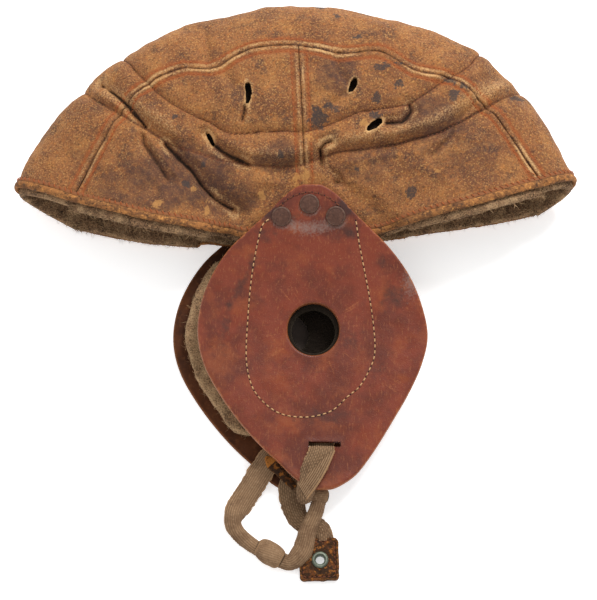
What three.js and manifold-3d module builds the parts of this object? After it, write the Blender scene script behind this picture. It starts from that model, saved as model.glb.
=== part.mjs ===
// An old leather football helmet, lying flattened on its right side.
// Millimetres, +Z up. X runs from brow (-) to nape (+), Y from the ear flaps' tips (-) to the crown's top (+).
import * as THREE from 'three';
import { mergeVertices } from 'three/addons/utils/BufferGeometryUtils.js';
import Module from 'manifold-3d';

// Thicknesses and clearances
const LEATHER = 2;
const FELT = 4;
const GAP = 0.3;
const BINDING_WIDTH = 5;
const BINDING_PROUD = 0.9;
const FELT_PAST_LEFT = 8.6;
const FELT_PAST_RIGHT = 6;
const FLAP_LEATHER = 3;
const PAD_FELT = 6;
const WEBBING = 1.6;

// Holes and fastenings
const EAR_HOLE = { x: 7.5, y: -17.7, radius: 13 };
const PAD_HOLE_RADIUS = 11;
const STRAP_SLOT = { x: 13, y: -75.8, width: 16, height: 2.6 };
const RIVET = { head: 5, headHeight: 1.2, shank: 1.8, hole: 2.15, rim: 0.5 };
const RIVET_PLACES = [
  { x: 5.7, y: 44.5 },
  { x: -8.6, y: 38.2 },
  { x: 19.1, y: 38.2 },
];

// The right flap lies this far towards the brow, because the flattened crown is skewed.
const RIGHT_SHIFT = { x: -13.3, y: 1.5 };

// The crown from brow to nape. foldX, foldY, foldZ: the fold along the crown's top.
// seamX, seamY: the seam beside the centre band. leftZ: the left seam's height.
const CROWN_SECTIONS = [
  { foldX: -143.5, foldY: 61.5, foldZ: 22, seamX: -112.5, seamY: 49.5, leftZ: 41 },
  { foldX: -136.5, foldY: 76, foldZ: 23, seamX: -107, seamY: 61, leftZ: 43 },
  { foldX: -123.5, foldY: 94, foldZ: 25, seamX: -99.5, seamY: 74.5, leftZ: 46 },
  { foldX: -107.3, foldY: 111.6, foldZ: 27, seamX: -87.5, seamY: 94.5, leftZ: 49 },
  { foldX: -90, foldY: 124, foldZ: 29, seamX: -74.5, seamY: 105, leftZ: 52 },
  { foldX: -68, foldY: 137.5, foldZ: 30, seamX: -59, seamY: 111.2, leftZ: 54 },
  { foldX: -46, foldY: 145.8, foldZ: 30, seamX: -43, seamY: 111.5, leftZ: 55 },
  { foldX: -22, foldY: 149.8, foldZ: 30, seamX: -25, seamY: 120.8, leftZ: 56 },
  { foldX: 1, foldY: 151.7, foldZ: 30, seamX: 0, seamY: 122.8, leftZ: 56 },
  { foldX: 25, foldY: 150, foldZ: 30, seamX: 21, seamY: 118.5, leftZ: 56 },
  { foldX: 48, foldY: 145, foldZ: 29, seamX: 41, seamY: 119.8, leftZ: 55 },
  { foldX: 70, foldY: 138.3, foldZ: 29, seamX: 59, seamY: 110.5, leftZ: 54 },
  { foldX: 91, foldY: 128.6, foldZ: 28, seamX: 80, seamY: 106, leftZ: 52 },
  { foldX: 108, foldY: 114.3, foldZ: 26, seamX: 95, seamY: 94, leftZ: 49 },
  { foldX: 123, foldY: 96, foldZ: 24, seamX: 107, seamY: 79, leftZ: 46 },
  { foldX: 134, foldY: 77.5, foldZ: 23, seamX: 116, seamY: 66, leftZ: 43 },
  { foldX: 140.3, foldY: 64.5, foldZ: 22, seamX: 121.5, seamY: 57.5, leftZ: 41 },
];

// The leather's edge above the binding, on the left side (up) and on the right side (down).
const RIM = [
  { x: -112.5, leftY: 49.5, leftZ: 41, rightY: 45.5, rightZ: 3.2 },
  { x: -92, leftY: 42.3, leftZ: 48, rightY: 41, rightZ: 2.2 },
  { x: -77, leftY: 38.2, leftZ: 49, rightY: 38.6, rightZ: 2.2 },
  { x: -63, leftY: 36.2, leftZ: 47, rightY: 37.2, rightZ: 2.2 },
  { x: -49, leftY: 35.4, leftZ: 41, rightY: 36.4, rightZ: 2.4 },
  { x: -35, leftY: 34, leftZ: 36, rightY: 36, rightZ: 3 },
  { x: -18, leftY: 32.8, leftZ: 34, rightY: 36, rightZ: 4 },
  { x: 7, leftY: 32.4, leftZ: 33.5, rightY: 36.5, rightZ: 4 },
  { x: 30, leftY: 33.6, leftZ: 35, rightY: 38.5, rightZ: 3 },
  { x: 46, leftY: 36, leftZ: 38.5, rightY: 40.5, rightZ: 2.4 },
  { x: 64, leftY: 40.6, leftZ: 43, rightY: 43.5, rightZ: 2.2 },
  { x: 86, leftY: 45.2, leftZ: 48, rightY: 46.7, rightZ: 2.2 },
  { x: 105, leftY: 51.5, leftZ: 46, rightY: 49.6, rightZ: 2.6 },
  { x: 121.5, leftY: 57.5, leftZ: 41, rightY: 53.5, rightZ: 3.2 },
];

// The quilting rings sewn round the head, as they cross a side panel.
const LOWER_RING = [
  { x: -125, y: 114 }, { x: -111, y: 107.5 }, { x: -88.5, y: 89.4 }, { x: -68, y: 73.3 },
  { x: -48, y: 65.9 }, { x: -21, y: 60.4 }, { x: 0, y: 61 }, { x: 21, y: 66.2 },
  { x: 42, y: 70.2 }, { x: 68, y: 76.5 }, { x: 89, y: 90.8 }, { x: 104, y: 101.9 }, { x: 125, y: 112 },
];
const UPPER_RING = [
  { x: -100, y: 135 }, { x: -88.3, y: 124.3 }, { x: -75.7, y: 103.3 }, { x: -58, y: 88 },
  { x: -34, y: 75.1 }, { x: -10, y: 77.9 }, { x: 12, y: 78.4 }, { x: 31.5, y: 87.3 },
  { x: 55, y: 90.5 }, { x: 72, y: 104.4 }, { x: 91.4, y: 125.2 }, { x: 104, y: 136 },
];
const RING_GROOVE = { depth: 3, reach: 5 };
const SEAM_GROOVE = { depth: 1, reach: 4 };
const RIGHT_QUILTING = 0.3;

// Creases pressed into the left side, each from one place to the next.
const CREASES = [
  { depth: 3, reach: 6, path: [[-66, 73], [-59, 62], [-45, 49], [-29, 35]] },
  { depth: 2, reach: 5, path: [[-79, 79], [-74, 67], [-65, 54]] },
  { depth: 3, reach: 6, path: [[16, 73], [10.5, 64], [14, 53], [20, 46]] },
  { depth: 2.5, reach: 6, path: [[57, 91], [54, 83], [44, 81], [36.5, 71]] },
  { depth: 2, reach: 5, path: [[79, 81], [68, 66]] },
];

// Worn vents in each side's panels, and one at the crown's top.
const VENTS = [
  { x: -26, y: 98, width: 3.2, length: 13, turn: 8 },
  { x: -45, y: 75, width: 2.2, length: 8, turn: 35 },
  { x: 27.5, y: 102.4, width: 3.6, length: 8, turn: -10 },
  { x: 38.5, y: 80.8, width: 3.6, length: 8, turn: -52 },
];
const TOP_VENT = { x: 14.8, y: 150, z: 32, wide: 4.7, long: 3.6, tall: 2.9 };

// An ear flap from its top to its tip.
const FLAP_ROWS = [
  { y: 56, left: 3.4, right: 11.4 }, { y: 53.5, left: -3, right: 16.5 }, { y: 48, left: -9.5, right: 23 },
  { y: 41, left: -16.3, right: 29 }, { y: 33, left: -24.3, right: 37 }, { y: 23, left: -34.6, right: 46 },
  { y: 10, left: -43.6, right: 55.8 }, { y: -5, left: -49.5, right: 62.3 }, { y: -21, left: -51, right: 65.4 },
  { y: -36, left: -47.5, right: 62 }, { y: -50, left: -40, right: 55.5 }, { y: -64, left: -30, right: 47.3 },
  { y: -77, left: -18.5, right: 39.3 }, { y: -86, left: -8.7, right: 33 }, { y: -92, left: -3, right: 28 },
  { y: -97, left: 3.8, right: 20.5 }, { y: -99, left: 9, right: 16 },
];
const PAD_SPAN = { top: 21.5, bottom: -70, inset: 6.5 };

// Height z of the left flap's underside at x along the flap, from tip to top, and the right flap's lift.
const LEFT_FLAP_RISE = [
  { x: -110, z: 14.2 }, { x: -99, z: 14.4 }, { x: -80, z: 15.3 }, { x: -60, z: 17 }, { x: -40, z: 19 },
  { x: -20, z: 21 }, { x: 0, z: 24.2 }, { x: 15, z: 27.8 }, { x: 29, z: 32 }, { x: 40, z: 35.8 },
  { x: 56, z: 41 }, { x: 66, z: 45.5 }, { x: 80, z: 54 }, { x: 95, z: 66 },
];
const RIGHT_FLAP_LIFT = { height: 1.7, from: 12, to: 34 };

// Webbing: the middle of the strap, how far it is turned on its edge, and its width.
const SLOT_STRAP = [
  { x: 13, y: -71.4, z: 14.5, roll: 0, width: 13 }, { x: 13, y: -74.4, z: 14.3, roll: 0, width: 13 },
  { x: 13, y: -75.6, z: 15.6, roll: 0, width: 13 }, { x: 13, y: -75.6, z: 17.8, roll: 0, width: 13 },
  { x: 13, y: -75.8, z: 19.7, roll: 0, width: 13 }, { x: 13, y: -77.2, z: 20.6, roll: 0, width: 13 },
  { x: 11.6, y: -80, z: 20.1, roll: 0, width: 12.6 }, { x: 8.5, y: -86, z: 19.4, roll: 0, width: 11.5 },
  { x: 5.2, y: -93, z: 19, roll: 0, width: 10 }, { x: 3.6, y: -98, z: 19, roll: 0, width: 8.5 },
  { x: 3, y: -101.8, z: 16.8, roll: 0, width: 7.5 }, { x: 3.2, y: -103.4, z: 13.4, roll: 0, width: 6 },
];
const CHIN_AFT = [
  { x: 9.8, y: -104.3, z: 8, roll: 0, width: 5.5 }, { x: 8.6, y: -108.2, z: 6.6, roll: 0, width: 6 },
  { x: 6.9, y: -112, z: 5.4, roll: 0, width: 6.6 }, { x: 5.3, y: -115.5, z: 4.8, roll: 0, width: 7.2 },
  { x: 4.2, y: -119, z: 5.2, roll: 0, width: 7.8 }, { x: 3.3, y: -123, z: 5.4, roll: 0, width: 8.4 },
  { x: 1.8, y: -127.4, z: 5.7, roll: 0, width: 8.6 }, { x: -1.2, y: -131.2, z: 5.4, roll: 0, width: 8 },
  { x: -4.3, y: -133, z: 3.8, roll: 0, width: 7 }, { x: -6.9, y: -132.1, z: 3, roll: 0, width: 6.4 },
];
const CHIN_FORE = [
  { x: -21.4, y: -125.4, z: 3.2, roll: 0, width: 6 }, { x: -24.2, y: -123.8, z: 2.6, roll: 5, width: 7 },
  { x: -27.6, y: -120.4, z: 2.6, roll: 14, width: 7.5 }, { x: -30.4, y: -116.8, z: 3.1, roll: 25, width: 8 },
  { x: -32, y: -112.8, z: 3.7, roll: 34, width: 9 }, { x: -31.2, y: -107.4, z: 3.6, roll: 24, width: 11 },
  { x: -28, y: -101.2, z: 2.6, roll: 8, width: 12 }, { x: -22, y: -92.1, z: 5, roll: 0, width: 12.2 },
  { x: -17, y: -84.6, z: 6.4, roll: 0, width: 12.2 }, { x: -12.4, y: -78.6, z: 7, roll: 0, width: 12.2 },
  { x: -9.4, y: -75.2, z: 7.2, roll: 0, width: 12.2 },
];
const TAB_STRAP = [
  { x: -0.3, y: -74.1, z: 0.5, roll: 0, width: 12.4 }, { x: -0.3, y: -74.2, z: 2.6, roll: 0, width: 12.4 },
  { x: -0.3, y: -74.6, z: 4.2, roll: 0, width: 12.4 }, { x: -0.3, y: -76.2, z: 5, roll: 0, width: 12.4 },
  { x: -1, y: -79.5, z: 4.4, roll: 0, width: 12.4 }, { x: -2.6, y: -88, z: 4.2, roll: 0, width: 12.4 },
  { x: -3.8, y: -95.5, z: 4.2, roll: 0, width: 12.4 }, { x: -3.4, y: -99.5, z: 3.6, roll: 0, width: 12.2 },
  { x: -2.2, y: -105, z: 1.6, roll: 0, width: 11.6 }, { x: 0, y: -109.8, z: 1.2, roll: 0, width: 10 },
  { x: 4, y: -112.8, z: 1.2, roll: 0, width: 9.4 }, { x: 8.4, y: -114.2, z: 1.3, roll: 0, width: 9.4 },
  { x: 11.4, y: -116.4, z: 1.6, roll: 0, width: 9 }, { x: 12.2, y: -119.6, z: 2, roll: 0, width: 9 },
];
const ANCHOR_STRIP = [
  { x: -14.4, y: -82.4, z: 8.6, roll: 0, width: 5 }, { x: -10.8, y: -86.4, z: 8.5, roll: 0, width: 6 },
  { x: -6, y: -91.3, z: 7.2, roll: 0, width: 5.5 }, { x: -2, y: -95.6, z: 6.2, roll: 0, width: 4 },
];
const STRIP_THICKNESS = 1.4;
const SLOT_KNOT = { x: 10.4, y: -99.9, z: 8.6, long: 10, wide: 7.4, tall: 7.4, turn: -8 };
const CHIN_KNOT = { x: -14.2, y: -128.8, z: 4.4, long: 14.5, wide: 11.5, tall: 8.6, turn: -25 };
const TAB = {
  x: 10.2, y: -131.4, width: 20, length: 21.6, height: 4, corner: 2.6, bevel: 0.7, turn: 2, curve: 3,
};
const EYELET = {
  x: 10.8, y: -131.8, flange: 4.15, hole: 2.2, barrel: 2.8, bore: 3.1, rise: 0.7, roll: 0.5, edge: 0.3,
};

// How fat a knot is along its length
const KNOT_SWELL = [0.62, 0.88, 1, 1, 0.9, 0.66];
const KNOT_SIDES = 10;

// How finely the curved pieces are divided
const CROWN_COLUMNS = 30;
const BAND_CELLS = 6;
const PANEL_CELLS = 7;
const FLAP_CELLS = { rows: 18, across: 6 };
const PAD_ROWS = 9;
const BISECTIONS = 20;
const ROUND_SIDES = { ear: 28, padEar: 20, eyelet: 16, rivet: 10, rivetHole: 10, vent: 10 };
const MERGE_WITHIN = 1e-3;
const FOLD_WITHIN = 1e-6;

// Clearances at the crown's seams, and the cutters' lengths
const SEAM_CLEARANCE = { across: 0.3, most: 0.1, middle: 0.0012, end: 0.012 };
const DRILL_LENGTH = 200;
const RIVET_DRILL_LENGTH = 16;
const VENT_TOOL = 40;
const LEFT_VENT_Z = 50;

// Share of a section, from fold to edge, that is centre band, and how far the band turns over.
const BAND_SHARE = 0.28;
const BAND_TURN = THREE.MathUtils.degToRad(75);
const SQUARENESS = 2.2;
const BULGE = 0.2;
const RIGHT_SEAM_RISE = 0.8;
const RIGHT_END_RISE = 3.2;
const RIGHT_END_DROP = 4;
const END_REACH = 0.2;
const RIM_FALL = 1.7;

// Shares of the right side, from seam to edge, where it comes down to the floor and where it leaves it
const RIGHT_WALL = { downBy: 0.15, upFrom: 0.72 };

// The crown's normal is taken this far inside its corners, from places this far apart.
const NORMAL_PROBE = { insideS: 0.03, insideT: 0.01, step: 0.004 };
const EDGE_STEP = 0.01;

// How the crown is pressed to lie under a flap
const BED = {
  atRivets: 0.55, overBinding: 1.4, wideBelow: 34, tightAbove: 41, margin: 5, rise: 0.025,
  leftBlend: 1, rightBlend: 0.4, quiltedPast: 6,
};

const COLOURS = {
  crown: { color: 0x8a5f38, roughness: 0.85 },
  binding: { color: 0xb9783a, roughness: 0.8 },
  felt: { color: 0x6d5e4b, roughness: 1 },
  flap: { color: 0x7c3d27, roughness: 0.5 },
  rivet: { color: 0x6b5243, roughness: 0.6, metalness: 0.5 },
  webbing: { color: 0x957653, roughness: 0.95 },
  tab: { color: 0x4a2d1c, roughness: 0.6 },
  eyelet: { color: 0x6f7a68, roughness: 0.45, metalness: 0.9 },
};

const wasm = await Module();
wasm.setup();

// A smooth value of a table's column between two rows, from the slopes at those rows.
function hermite(a, b, slopeA, slopeB, span, f) {
  const f2 = f * f;
  const f3 = f2 * f;
  return (2 * f3 - 3 * f2 + 1) * a + (f3 - 2 * f2 + f) * span * slopeA
    + (3 * f2 - 2 * f3) * b + (f3 - f2) * span * slopeB;
}

function slopeAt(table, key, value, i) {
  const before = table[Math.max(i - 1, 0)];
  const after = table[Math.min(i + 1, table.length - 1)];
  return (after[value] - before[value]) / (after[key] - before[key]);
}

// The value of a column where another column, which always rises, has the given value.
function lookUp(table, key, value, at) {
  const last = table.length - 2;
  const found = table.findIndex((row) => row[key] > at) - 1;
  const i = found < -1 ? last : Math.min(Math.max(found, 0), last);
  const a = table[i];
  const b = table[i + 1];
  const span = b[key] - a[key];
  const f = (at - a[key]) / span;
  if (f < 0) return a[value] + (at - a[key]) * slopeAt(table, key, value, i);
  if (f > 1) return b[value] + (at - b[key]) * slopeAt(table, key, value, i + 1);
  return hermite(a[value], b[value], slopeAt(table, key, value, i), slopeAt(table, key, value, i + 1), span, f);
}

// All columns of a table whose rows are evenly spaced from 0 to 1.
const sectionRows = CROWN_SECTIONS.map((row, i) => ({ ...row, share: i / (CROWN_SECTIONS.length - 1) }));
const section = (share, value) => lookUp(sectionRows, 'share', value, share);

const smoothStep = (a, b, v) => THREE.MathUtils.smoothstep(v, a, b);
const softMin = (a, b, k) => -k * Math.log(Math.exp(-a / k) + Math.exp(-b / k));
const softMax = (a, b, k) => -softMin(-a, -b, k);

// Flap edges are given from top to tip, so they are looked up by -y.
const flapRows = FLAP_ROWS.map((row) => ({ ...row, down: -row.y }));
const flapLeft = (y) => lookUp(flapRows, 'down', 'left', -y);
const flapRight = (y) => lookUp(flapRows, 'down', 'right', -y);
const leftFlapUnder = (y) => lookUp(LEFT_FLAP_RISE, 'x', 'z', y);
const rightFlapUnder = (y) => RIGHT_FLAP_LIFT.height * smoothStep(RIGHT_FLAP_LIFT.from, RIGHT_FLAP_LIFT.to, y);

// How far a place lies outside a flap's outline, past a margin that the crown keeps flat beside it.
function outsideFlap(x, y) {
  const top = Math.min(y, FLAP_ROWS[0].y);
  const beside = Math.max(flapLeft(top) - x, x - flapRight(top), 0);
  return Math.max(Math.hypot(beside, Math.max(y - top, 0)) - BED.margin, 0);
}

// The room between a flap and the crown's leather: tight at the rivets, wider over the binding.
const flapClearance = (y) => {
  const tight = smoothStep(BED.wideBelow, BED.tightAbove, y);
  return THREE.MathUtils.lerp(BED.overBinding, BED.atRivets, tight);
};

function leftBed(x, y) {
  return leftFlapUnder(y) - flapClearance(y) + BED.rise * outsideFlap(x, y) ** 2;
}

function rightBed(x, y) {
  const px = x - RIGHT_SHIFT.x;
  const py = y - RIGHT_SHIFT.y;
  return rightFlapUnder(py) + FLAP_LEATHER + flapClearance(py) - BED.rise * outsideFlap(px, py) ** 2;
}

// How close a section is to the brow or the nape: 1 at either end, 0 past their reach.
const nearEnd = (s) => 1 - smoothStep(0, END_REACH, Math.min(s, 1 - s));

// The crown's outer face before quilting and creases. s: brow 0 to nape 1.
// t: the left edge 1, the fold 0, the right edge -1.
function plainCrown(s, t) {
  const onLeft = t >= 0;
  const a = Math.abs(t);
  const end = nearEnd(s);
  const fold = new THREE.Vector2(section(s, 'foldX'), section(s, 'foldY'));
  const drop = onLeft ? 0 : RIGHT_END_DROP * end;
  const seam = new THREE.Vector2(section(s, 'seamX'), section(s, 'seamY') - drop);
  const rightZ = THREE.MathUtils.lerp(RIGHT_SEAM_RISE, RIGHT_END_RISE, end);
  const seamZ = onLeft ? section(s, 'leftZ') : rightZ;
  if (a <= BAND_SHARE) {
    const turn = (a / BAND_SHARE) * BAND_TURN;
    const power = 2 / SQUARENESS;
    const inward = (1 - Math.cos(turn) ** power) / (1 - Math.cos(BAND_TURN) ** power);
    const up = Math.sin(turn) ** power / Math.sin(BAND_TURN) ** power;
    const place = fold.lerp(seam, inward);
    return new THREE.Vector3(place.x, place.y, THREE.MathUtils.lerp(section(s, 'foldZ'), seamZ, up));
  }
  const w = (a - BAND_SHARE) / (1 - BAND_SHARE);
  const skew = onLeft ? 0 : RIGHT_SHIFT.x * Math.sin(Math.PI * s);
  const rimX = THREE.MathUtils.lerp(RIM[0].x, RIM[RIM.length - 1].x, s) + skew;
  const edge = new THREE.Vector2(rimX, lookUp(RIM, 'x', onLeft ? 'leftY' : 'rightY', rimX));
  const rimZ = lookUp(RIM, 'x', onLeft ? 'leftZ' : 'rightZ', rimX);
  const length = seam.distanceTo(edge);
  const place = seam.lerp(edge, w);
  if (onLeft) {
    const z = seamZ + BULGE * length * w * (1 - w) ** 2 + (rimZ - seamZ) * w ** RIM_FALL;
    return new THREE.Vector3(place.x, place.y, softMin(z, leftBed(place.x, place.y), BED.leftBlend));
  }
  const down = smoothStep(0, RIGHT_WALL.downBy, w) * (1 - end);
  const up = smoothStep(RIGHT_WALL.upFrom, 1, w);
  const z = seamZ * (1 - down) + (rimZ - seamZ * end) * up;
  const lifted = softMax(z, rightBed(place.x, place.y), BED.rightBlend);
  return new THREE.Vector3(place.x, place.y, Math.max(0, lifted));
}

// The direction straight out of the crown, taken a little inside its corners.
function crownNormal(s, t) {
  const { insideS, insideT, step } = NORMAL_PROBE;
  const cs = THREE.MathUtils.clamp(s, insideS, 1 - insideS);
  const ct = THREE.MathUtils.clamp(t, insideT - 1, 1 - insideT);
  const alongS = plainCrown(cs + step, ct).sub(plainCrown(cs - step, ct));
  const alongT = plainCrown(cs, ct + step).sub(plainCrown(cs, ct - step));
  return alongT.cross(alongS).normalize();
}

function distanceToPath(x, y, path) {
  let nearest = Infinity;
  for (let i = 0; i + 1 < path.length; i += 1) {
    const [ax, ay] = path[i];
    const [bx, by] = path[i + 1];
    const dx = bx - ax;
    const dy = by - ay;
    const f = THREE.MathUtils.clamp(((x - ax) * dx + (y - ay) * dy) / (dx * dx + dy * dy), 0, 1);
    nearest = Math.min(nearest, Math.hypot(x - ax - f * dx, y - ay - f * dy));
  }
  return nearest;
}

// A ring is a curve of x, so its distance is the height over it, leaned by the curve's slope.
function ringDistance(ring, x, y) {
  const rise = lookUp(ring, 'x', 'y', x + 1) - lookUp(ring, 'x', 'y', x - 1);
  return Math.abs(y - lookUp(ring, 'x', 'y', x)) / Math.hypot(1, rise / 2);
}

// How deep the quilting, seams and creases press the crown in at one place.
function pressedIn(s, t, place) {
  const groove = (shape, distance) => shape.depth * Math.exp(-((distance / shape.reach) ** 2));
  let depth = groove(RING_GROOVE, ringDistance(LOWER_RING, place.x, place.y));
  depth = Math.max(depth, groove(RING_GROOVE, ringDistance(UPPER_RING, place.x, place.y)));
  const seam = new THREE.Vector2(section(s, 'seamX'), section(s, 'seamY'));
  depth = Math.max(depth, groove(SEAM_GROOVE, seam.distanceTo(new THREE.Vector2(place.x, place.y))));
  if (t > BAND_SHARE) {
    for (const crease of CREASES) {
      depth = Math.max(depth, groove(crease, distanceToPath(place.x, place.y, crease.path)));
    }
  }
  const held = t >= 0 ? smoothStep(0, BED.quiltedPast, outsideFlap(place.x, place.y)) : RIGHT_QUILTING;
  return depth * held;
}

// The crown's outer face, or a face that lies deeper by the given amount.
function crownPoint(s, t, deeper = 0) {
  const place = plainCrown(s, t);
  const inward = pressedIn(s, t, place) + deeper;
  return place.addScaledVector(crownNormal(s, t), -inward);
}

// The direction out of the crown's opening, level with its face, at a place on its edge.
function edgeOutward(s, t) {
  const step = EDGE_STEP;
  const onSide = Math.abs(t) > BAND_SHARE + step / 10;
  const ahead = onSide ? plainCrown(Math.min(s + step, 1), t) : plainCrown(s, t + step);
  const behind = onSide ? plainCrown(Math.max(s - step, 0), t) : plainCrown(s, t - step);
  const run = ahead.sub(behind);
  const out = run.cross(crownNormal(s, t)).normalize();
  const towardsTip = onSide ? out.y > 0 : (s < 0.5 ? out.x > 0 : out.x < 0);
  return towardsTip ? out.negate() : out;
}

// The value of t where a section crosses a quilting ring on one side, or null where it doesn't.
function ringCrossing(ring, s, sign) {
  const above = (a) => {
    const place = plainCrown(s, a * sign);
    return place.y - lookUp(ring, 'x', 'y', place.x);
  };
  let [low, high] = [BAND_SHARE, 1];
  if (above(low) < 0 || above(high) > 0) return null;
  for (let i = 0; i < BISECTIONS; i += 1) {
    const middle = (low + high) / 2;
    if (above(middle) > 0) low = middle;
    else high = middle;
  }
  return low;
}

// The values of t down one side of a section: evenly spaced, but with a row in each quilting ring.
function panelRows(s, sign, edge = BAND_SHARE) {
  const rows = steps(edge, 1, PANEL_CELLS);
  for (const ring of [UPPER_RING, LOWER_RING]) {
    const crossing = ringCrossing(ring, s, sign);
    const nearest = crossing && Math.round(((crossing - BAND_SHARE) / (1 - BAND_SHARE)) * PANEL_CELLS);
    if (nearest && nearest < PANEL_CELLS) rows[nearest] = crossing;
  }
  return sign > 0 ? rows : rows.map((t) => -t).reverse();
}

// A closed solid between two grids of points that share their layout, outer grid first.
function shellGeometry(outer, inner) {
  const rows = outer.length;
  const columns = outer[0].length;
  const vertices = [...outer.flat(), ...inner.flat()].flatMap((p) => [p.x, p.y, p.z]);
  const at = (layer, i, j) => layer * rows * columns + i * columns + j;
  const faces = [];
  const quad = (a, b, c, d) => faces.push(a, b, c, a, c, d);
  for (let i = 0; i + 1 < rows; i += 1) {
    for (let j = 0; j + 1 < columns; j += 1) {
      quad(at(0, i, j), at(0, i + 1, j), at(0, i + 1, j + 1), at(0, i, j + 1));
      quad(at(1, i, j), at(1, i, j + 1), at(1, i + 1, j + 1), at(1, i + 1, j));
    }
  }
  const ring = [];
  for (let j = 0; j < columns; j += 1) ring.push([0, j]);
  for (let i = 1; i < rows; i += 1) ring.push([i, columns - 1]);
  for (let j = columns - 2; j >= 0; j -= 1) ring.push([rows - 1, j]);
  for (let i = rows - 2; i > 0; i -= 1) ring.push([i, 0]);
  ring.forEach(([i, j], k) => {
    const [ni, nj] = ring[(k + 1) % ring.length];
    quad(at(0, i, j), at(0, ni, nj), at(1, ni, nj), at(1, i, j));
  });
  return cleanGeometry(vertices, faces);
}

// Merges equal places, drops faces without area and turns the solid's faces outward.
function cleanGeometry(vertices, faces) {
  const raw = new THREE.BufferGeometry();
  raw.setAttribute('position', new THREE.Float32BufferAttribute(vertices, 3));
  raw.setIndex(faces);
  const geometry = mergeVertices(raw, MERGE_WITHIN);
  const kept = [];
  const index = geometry.index.array;
  for (let i = 0; i < index.length; i += 3) {
    const [a, b, c] = [index[i], index[i + 1], index[i + 2]];
    if (a !== b && b !== c && c !== a) kept.push(a, b, c);
  }
  if (signedVolume(geometry.attributes.position, kept) < 0) kept.reverse();
  geometry.setIndex(kept);
  return geometry;
}

function signedVolume(position, index) {
  const [a, b, c] = [new THREE.Vector3(), new THREE.Vector3(), new THREE.Vector3()];
  let volume = 0;
  for (let i = 0; i < index.length; i += 3) {
    a.fromBufferAttribute(position, index[i]);
    b.fromBufferAttribute(position, index[i + 1]);
    c.fromBufferAttribute(position, index[i + 2]);
    volume += a.dot(b.cross(c)) / 6;
  }
  return volume;
}

// Evenly spaced values from a to b.
const steps = (a, b, count) => Array.from({ length: count + 1 }, (_, i) => a + ((b - a) * i) / count);

// One leather piece of the crown, over some values of s, each with its values of t.
function crownLeather(sValues, tValuesAt) {
  const face = (deeper) => sValues.map((s) => tValuesAt(s).map((t) => crownPoint(s, t, deeper)));
  return shellGeometry(face(0), face(LEATHER));
}

// Half of the felt, left where side is 1 and right where it is -1: it lies inside the leather, reaches
// past its edge all round, and is parted from the other half along the fold over the crown's top.
function feltLining(side) {
  const columns = [-1, ...steps(0, 1, CROWN_COLUMNS), 2];
  const band = steps(0, side * BAND_SHARE, BAND_CELLS / 2).slice(0, -1);
  if (side < 0) band.reverse();
  const rowsAt = (s) => (side > 0
    ? [...band, ...panelRows(s, 1), 2]
    : [-2, ...panelRows(s, -1), ...band]);
  const clampS = (s) => THREE.MathUtils.clamp(s, 0, 1);
  const face = (deeper) => columns.map((s) => rowsAt(clampS(s)).map((t) => {
    const cs = clampS(s);
    const ct = THREE.MathUtils.clamp(t, -1, 1);
    const place = crownPoint(cs, ct, deeper);
    if (cs !== s || ct !== t) {
      const past = THREE.MathUtils.lerp(FELT_PAST_RIGHT, FELT_PAST_LEFT, (ct + 1) / 2);
      place.addScaledVector(edgeOutward(cs, ct), past);
    }
    if (Math.abs(t) < FOLD_WITHIN) place.z += (side * GAP) / 2;
    return place;
  }));
  return shellGeometry(face(LEATHER + GAP), face(LEATHER + GAP + FELT));
}

// The places along the crown's open edge, all the way round.
function rimPlaces() {
  const left = steps(0, 1, CROWN_COLUMNS).map((s) => [s, 1]);
  const nape = steps(BAND_SHARE, -BAND_SHARE, BAND_CELLS).map((t) => [1, t]);
  const right = steps(1, 0, CROWN_COLUMNS).map((s) => [s, -1]);
  const brow = steps(-BAND_SHARE, BAND_SHARE, BAND_CELLS).map((t) => [0, t]);
  return [...left, ...nape.slice(1), ...right.slice(1), ...brow.slice(1, -1)];
}

// The binding is a soft-cornered strip just past the leather's edge.
function rimBinding() {
  const low = -LEATHER + 1.5 * GAP;
  const corner = BINDING_PROUD;
  const profile = [
    [0, low], [BINDING_WIDTH - corner, low], [BINDING_WIDTH, low + corner],
    [BINDING_WIDTH, 0], [BINDING_WIDTH - corner, BINDING_PROUD], [corner, BINDING_PROUD], [0, 0],
  ];
  const rings = rimPlaces().map(([s, t]) => {
    const place = crownPoint(s, t);
    const out = edgeOutward(s, t);
    const normal = crownNormal(s, t);
    return profile.map(([along, up]) => place.clone()
      .addScaledVector(out, GAP + along)
      .addScaledVector(normal, up));
  });
  return loopGeometry(rings);
}

// A closed tube through rings of points, back to its start.
function loopGeometry(rings) {
  const sides = rings[0].length;
  const vertices = rings.flat().flatMap((p) => [p.x, p.y, p.z]);
  const faces = [];
  rings.forEach((_, i) => {
    const next = (i + 1) % rings.length;
    for (let j = 0; j < sides; j += 1) {
      const k = (j + 1) % sides;
      faces.push(i * sides + j, next * sides + j, next * sides + k);
      faces.push(i * sides + j, next * sides + k, i * sides + k);
    }
  });
  return cleanGeometry(vertices, faces);
}

// A closed tube through rings of points, with flat ends.
function loftGeometry(rings) {
  const sides = rings[0].length;
  const vertices = rings.flat().flatMap((p) => [p.x, p.y, p.z]);
  const faces = [];
  for (let i = 0; i + 1 < rings.length; i += 1) {
    for (let j = 0; j < sides; j += 1) {
      const k = (j + 1) % sides;
      faces.push(i * sides + j, (i + 1) * sides + j, (i + 1) * sides + k);
      faces.push(i * sides + j, (i + 1) * sides + k, i * sides + k);
    }
  }
  const last = (rings.length - 1) * sides;
  for (let j = 1; j + 1 < sides; j += 1) {
    faces.push(0, j, j + 1);
    faces.push(last, last + j + 1, last + j);
  }
  return cleanGeometry(vertices, faces);
}

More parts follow.
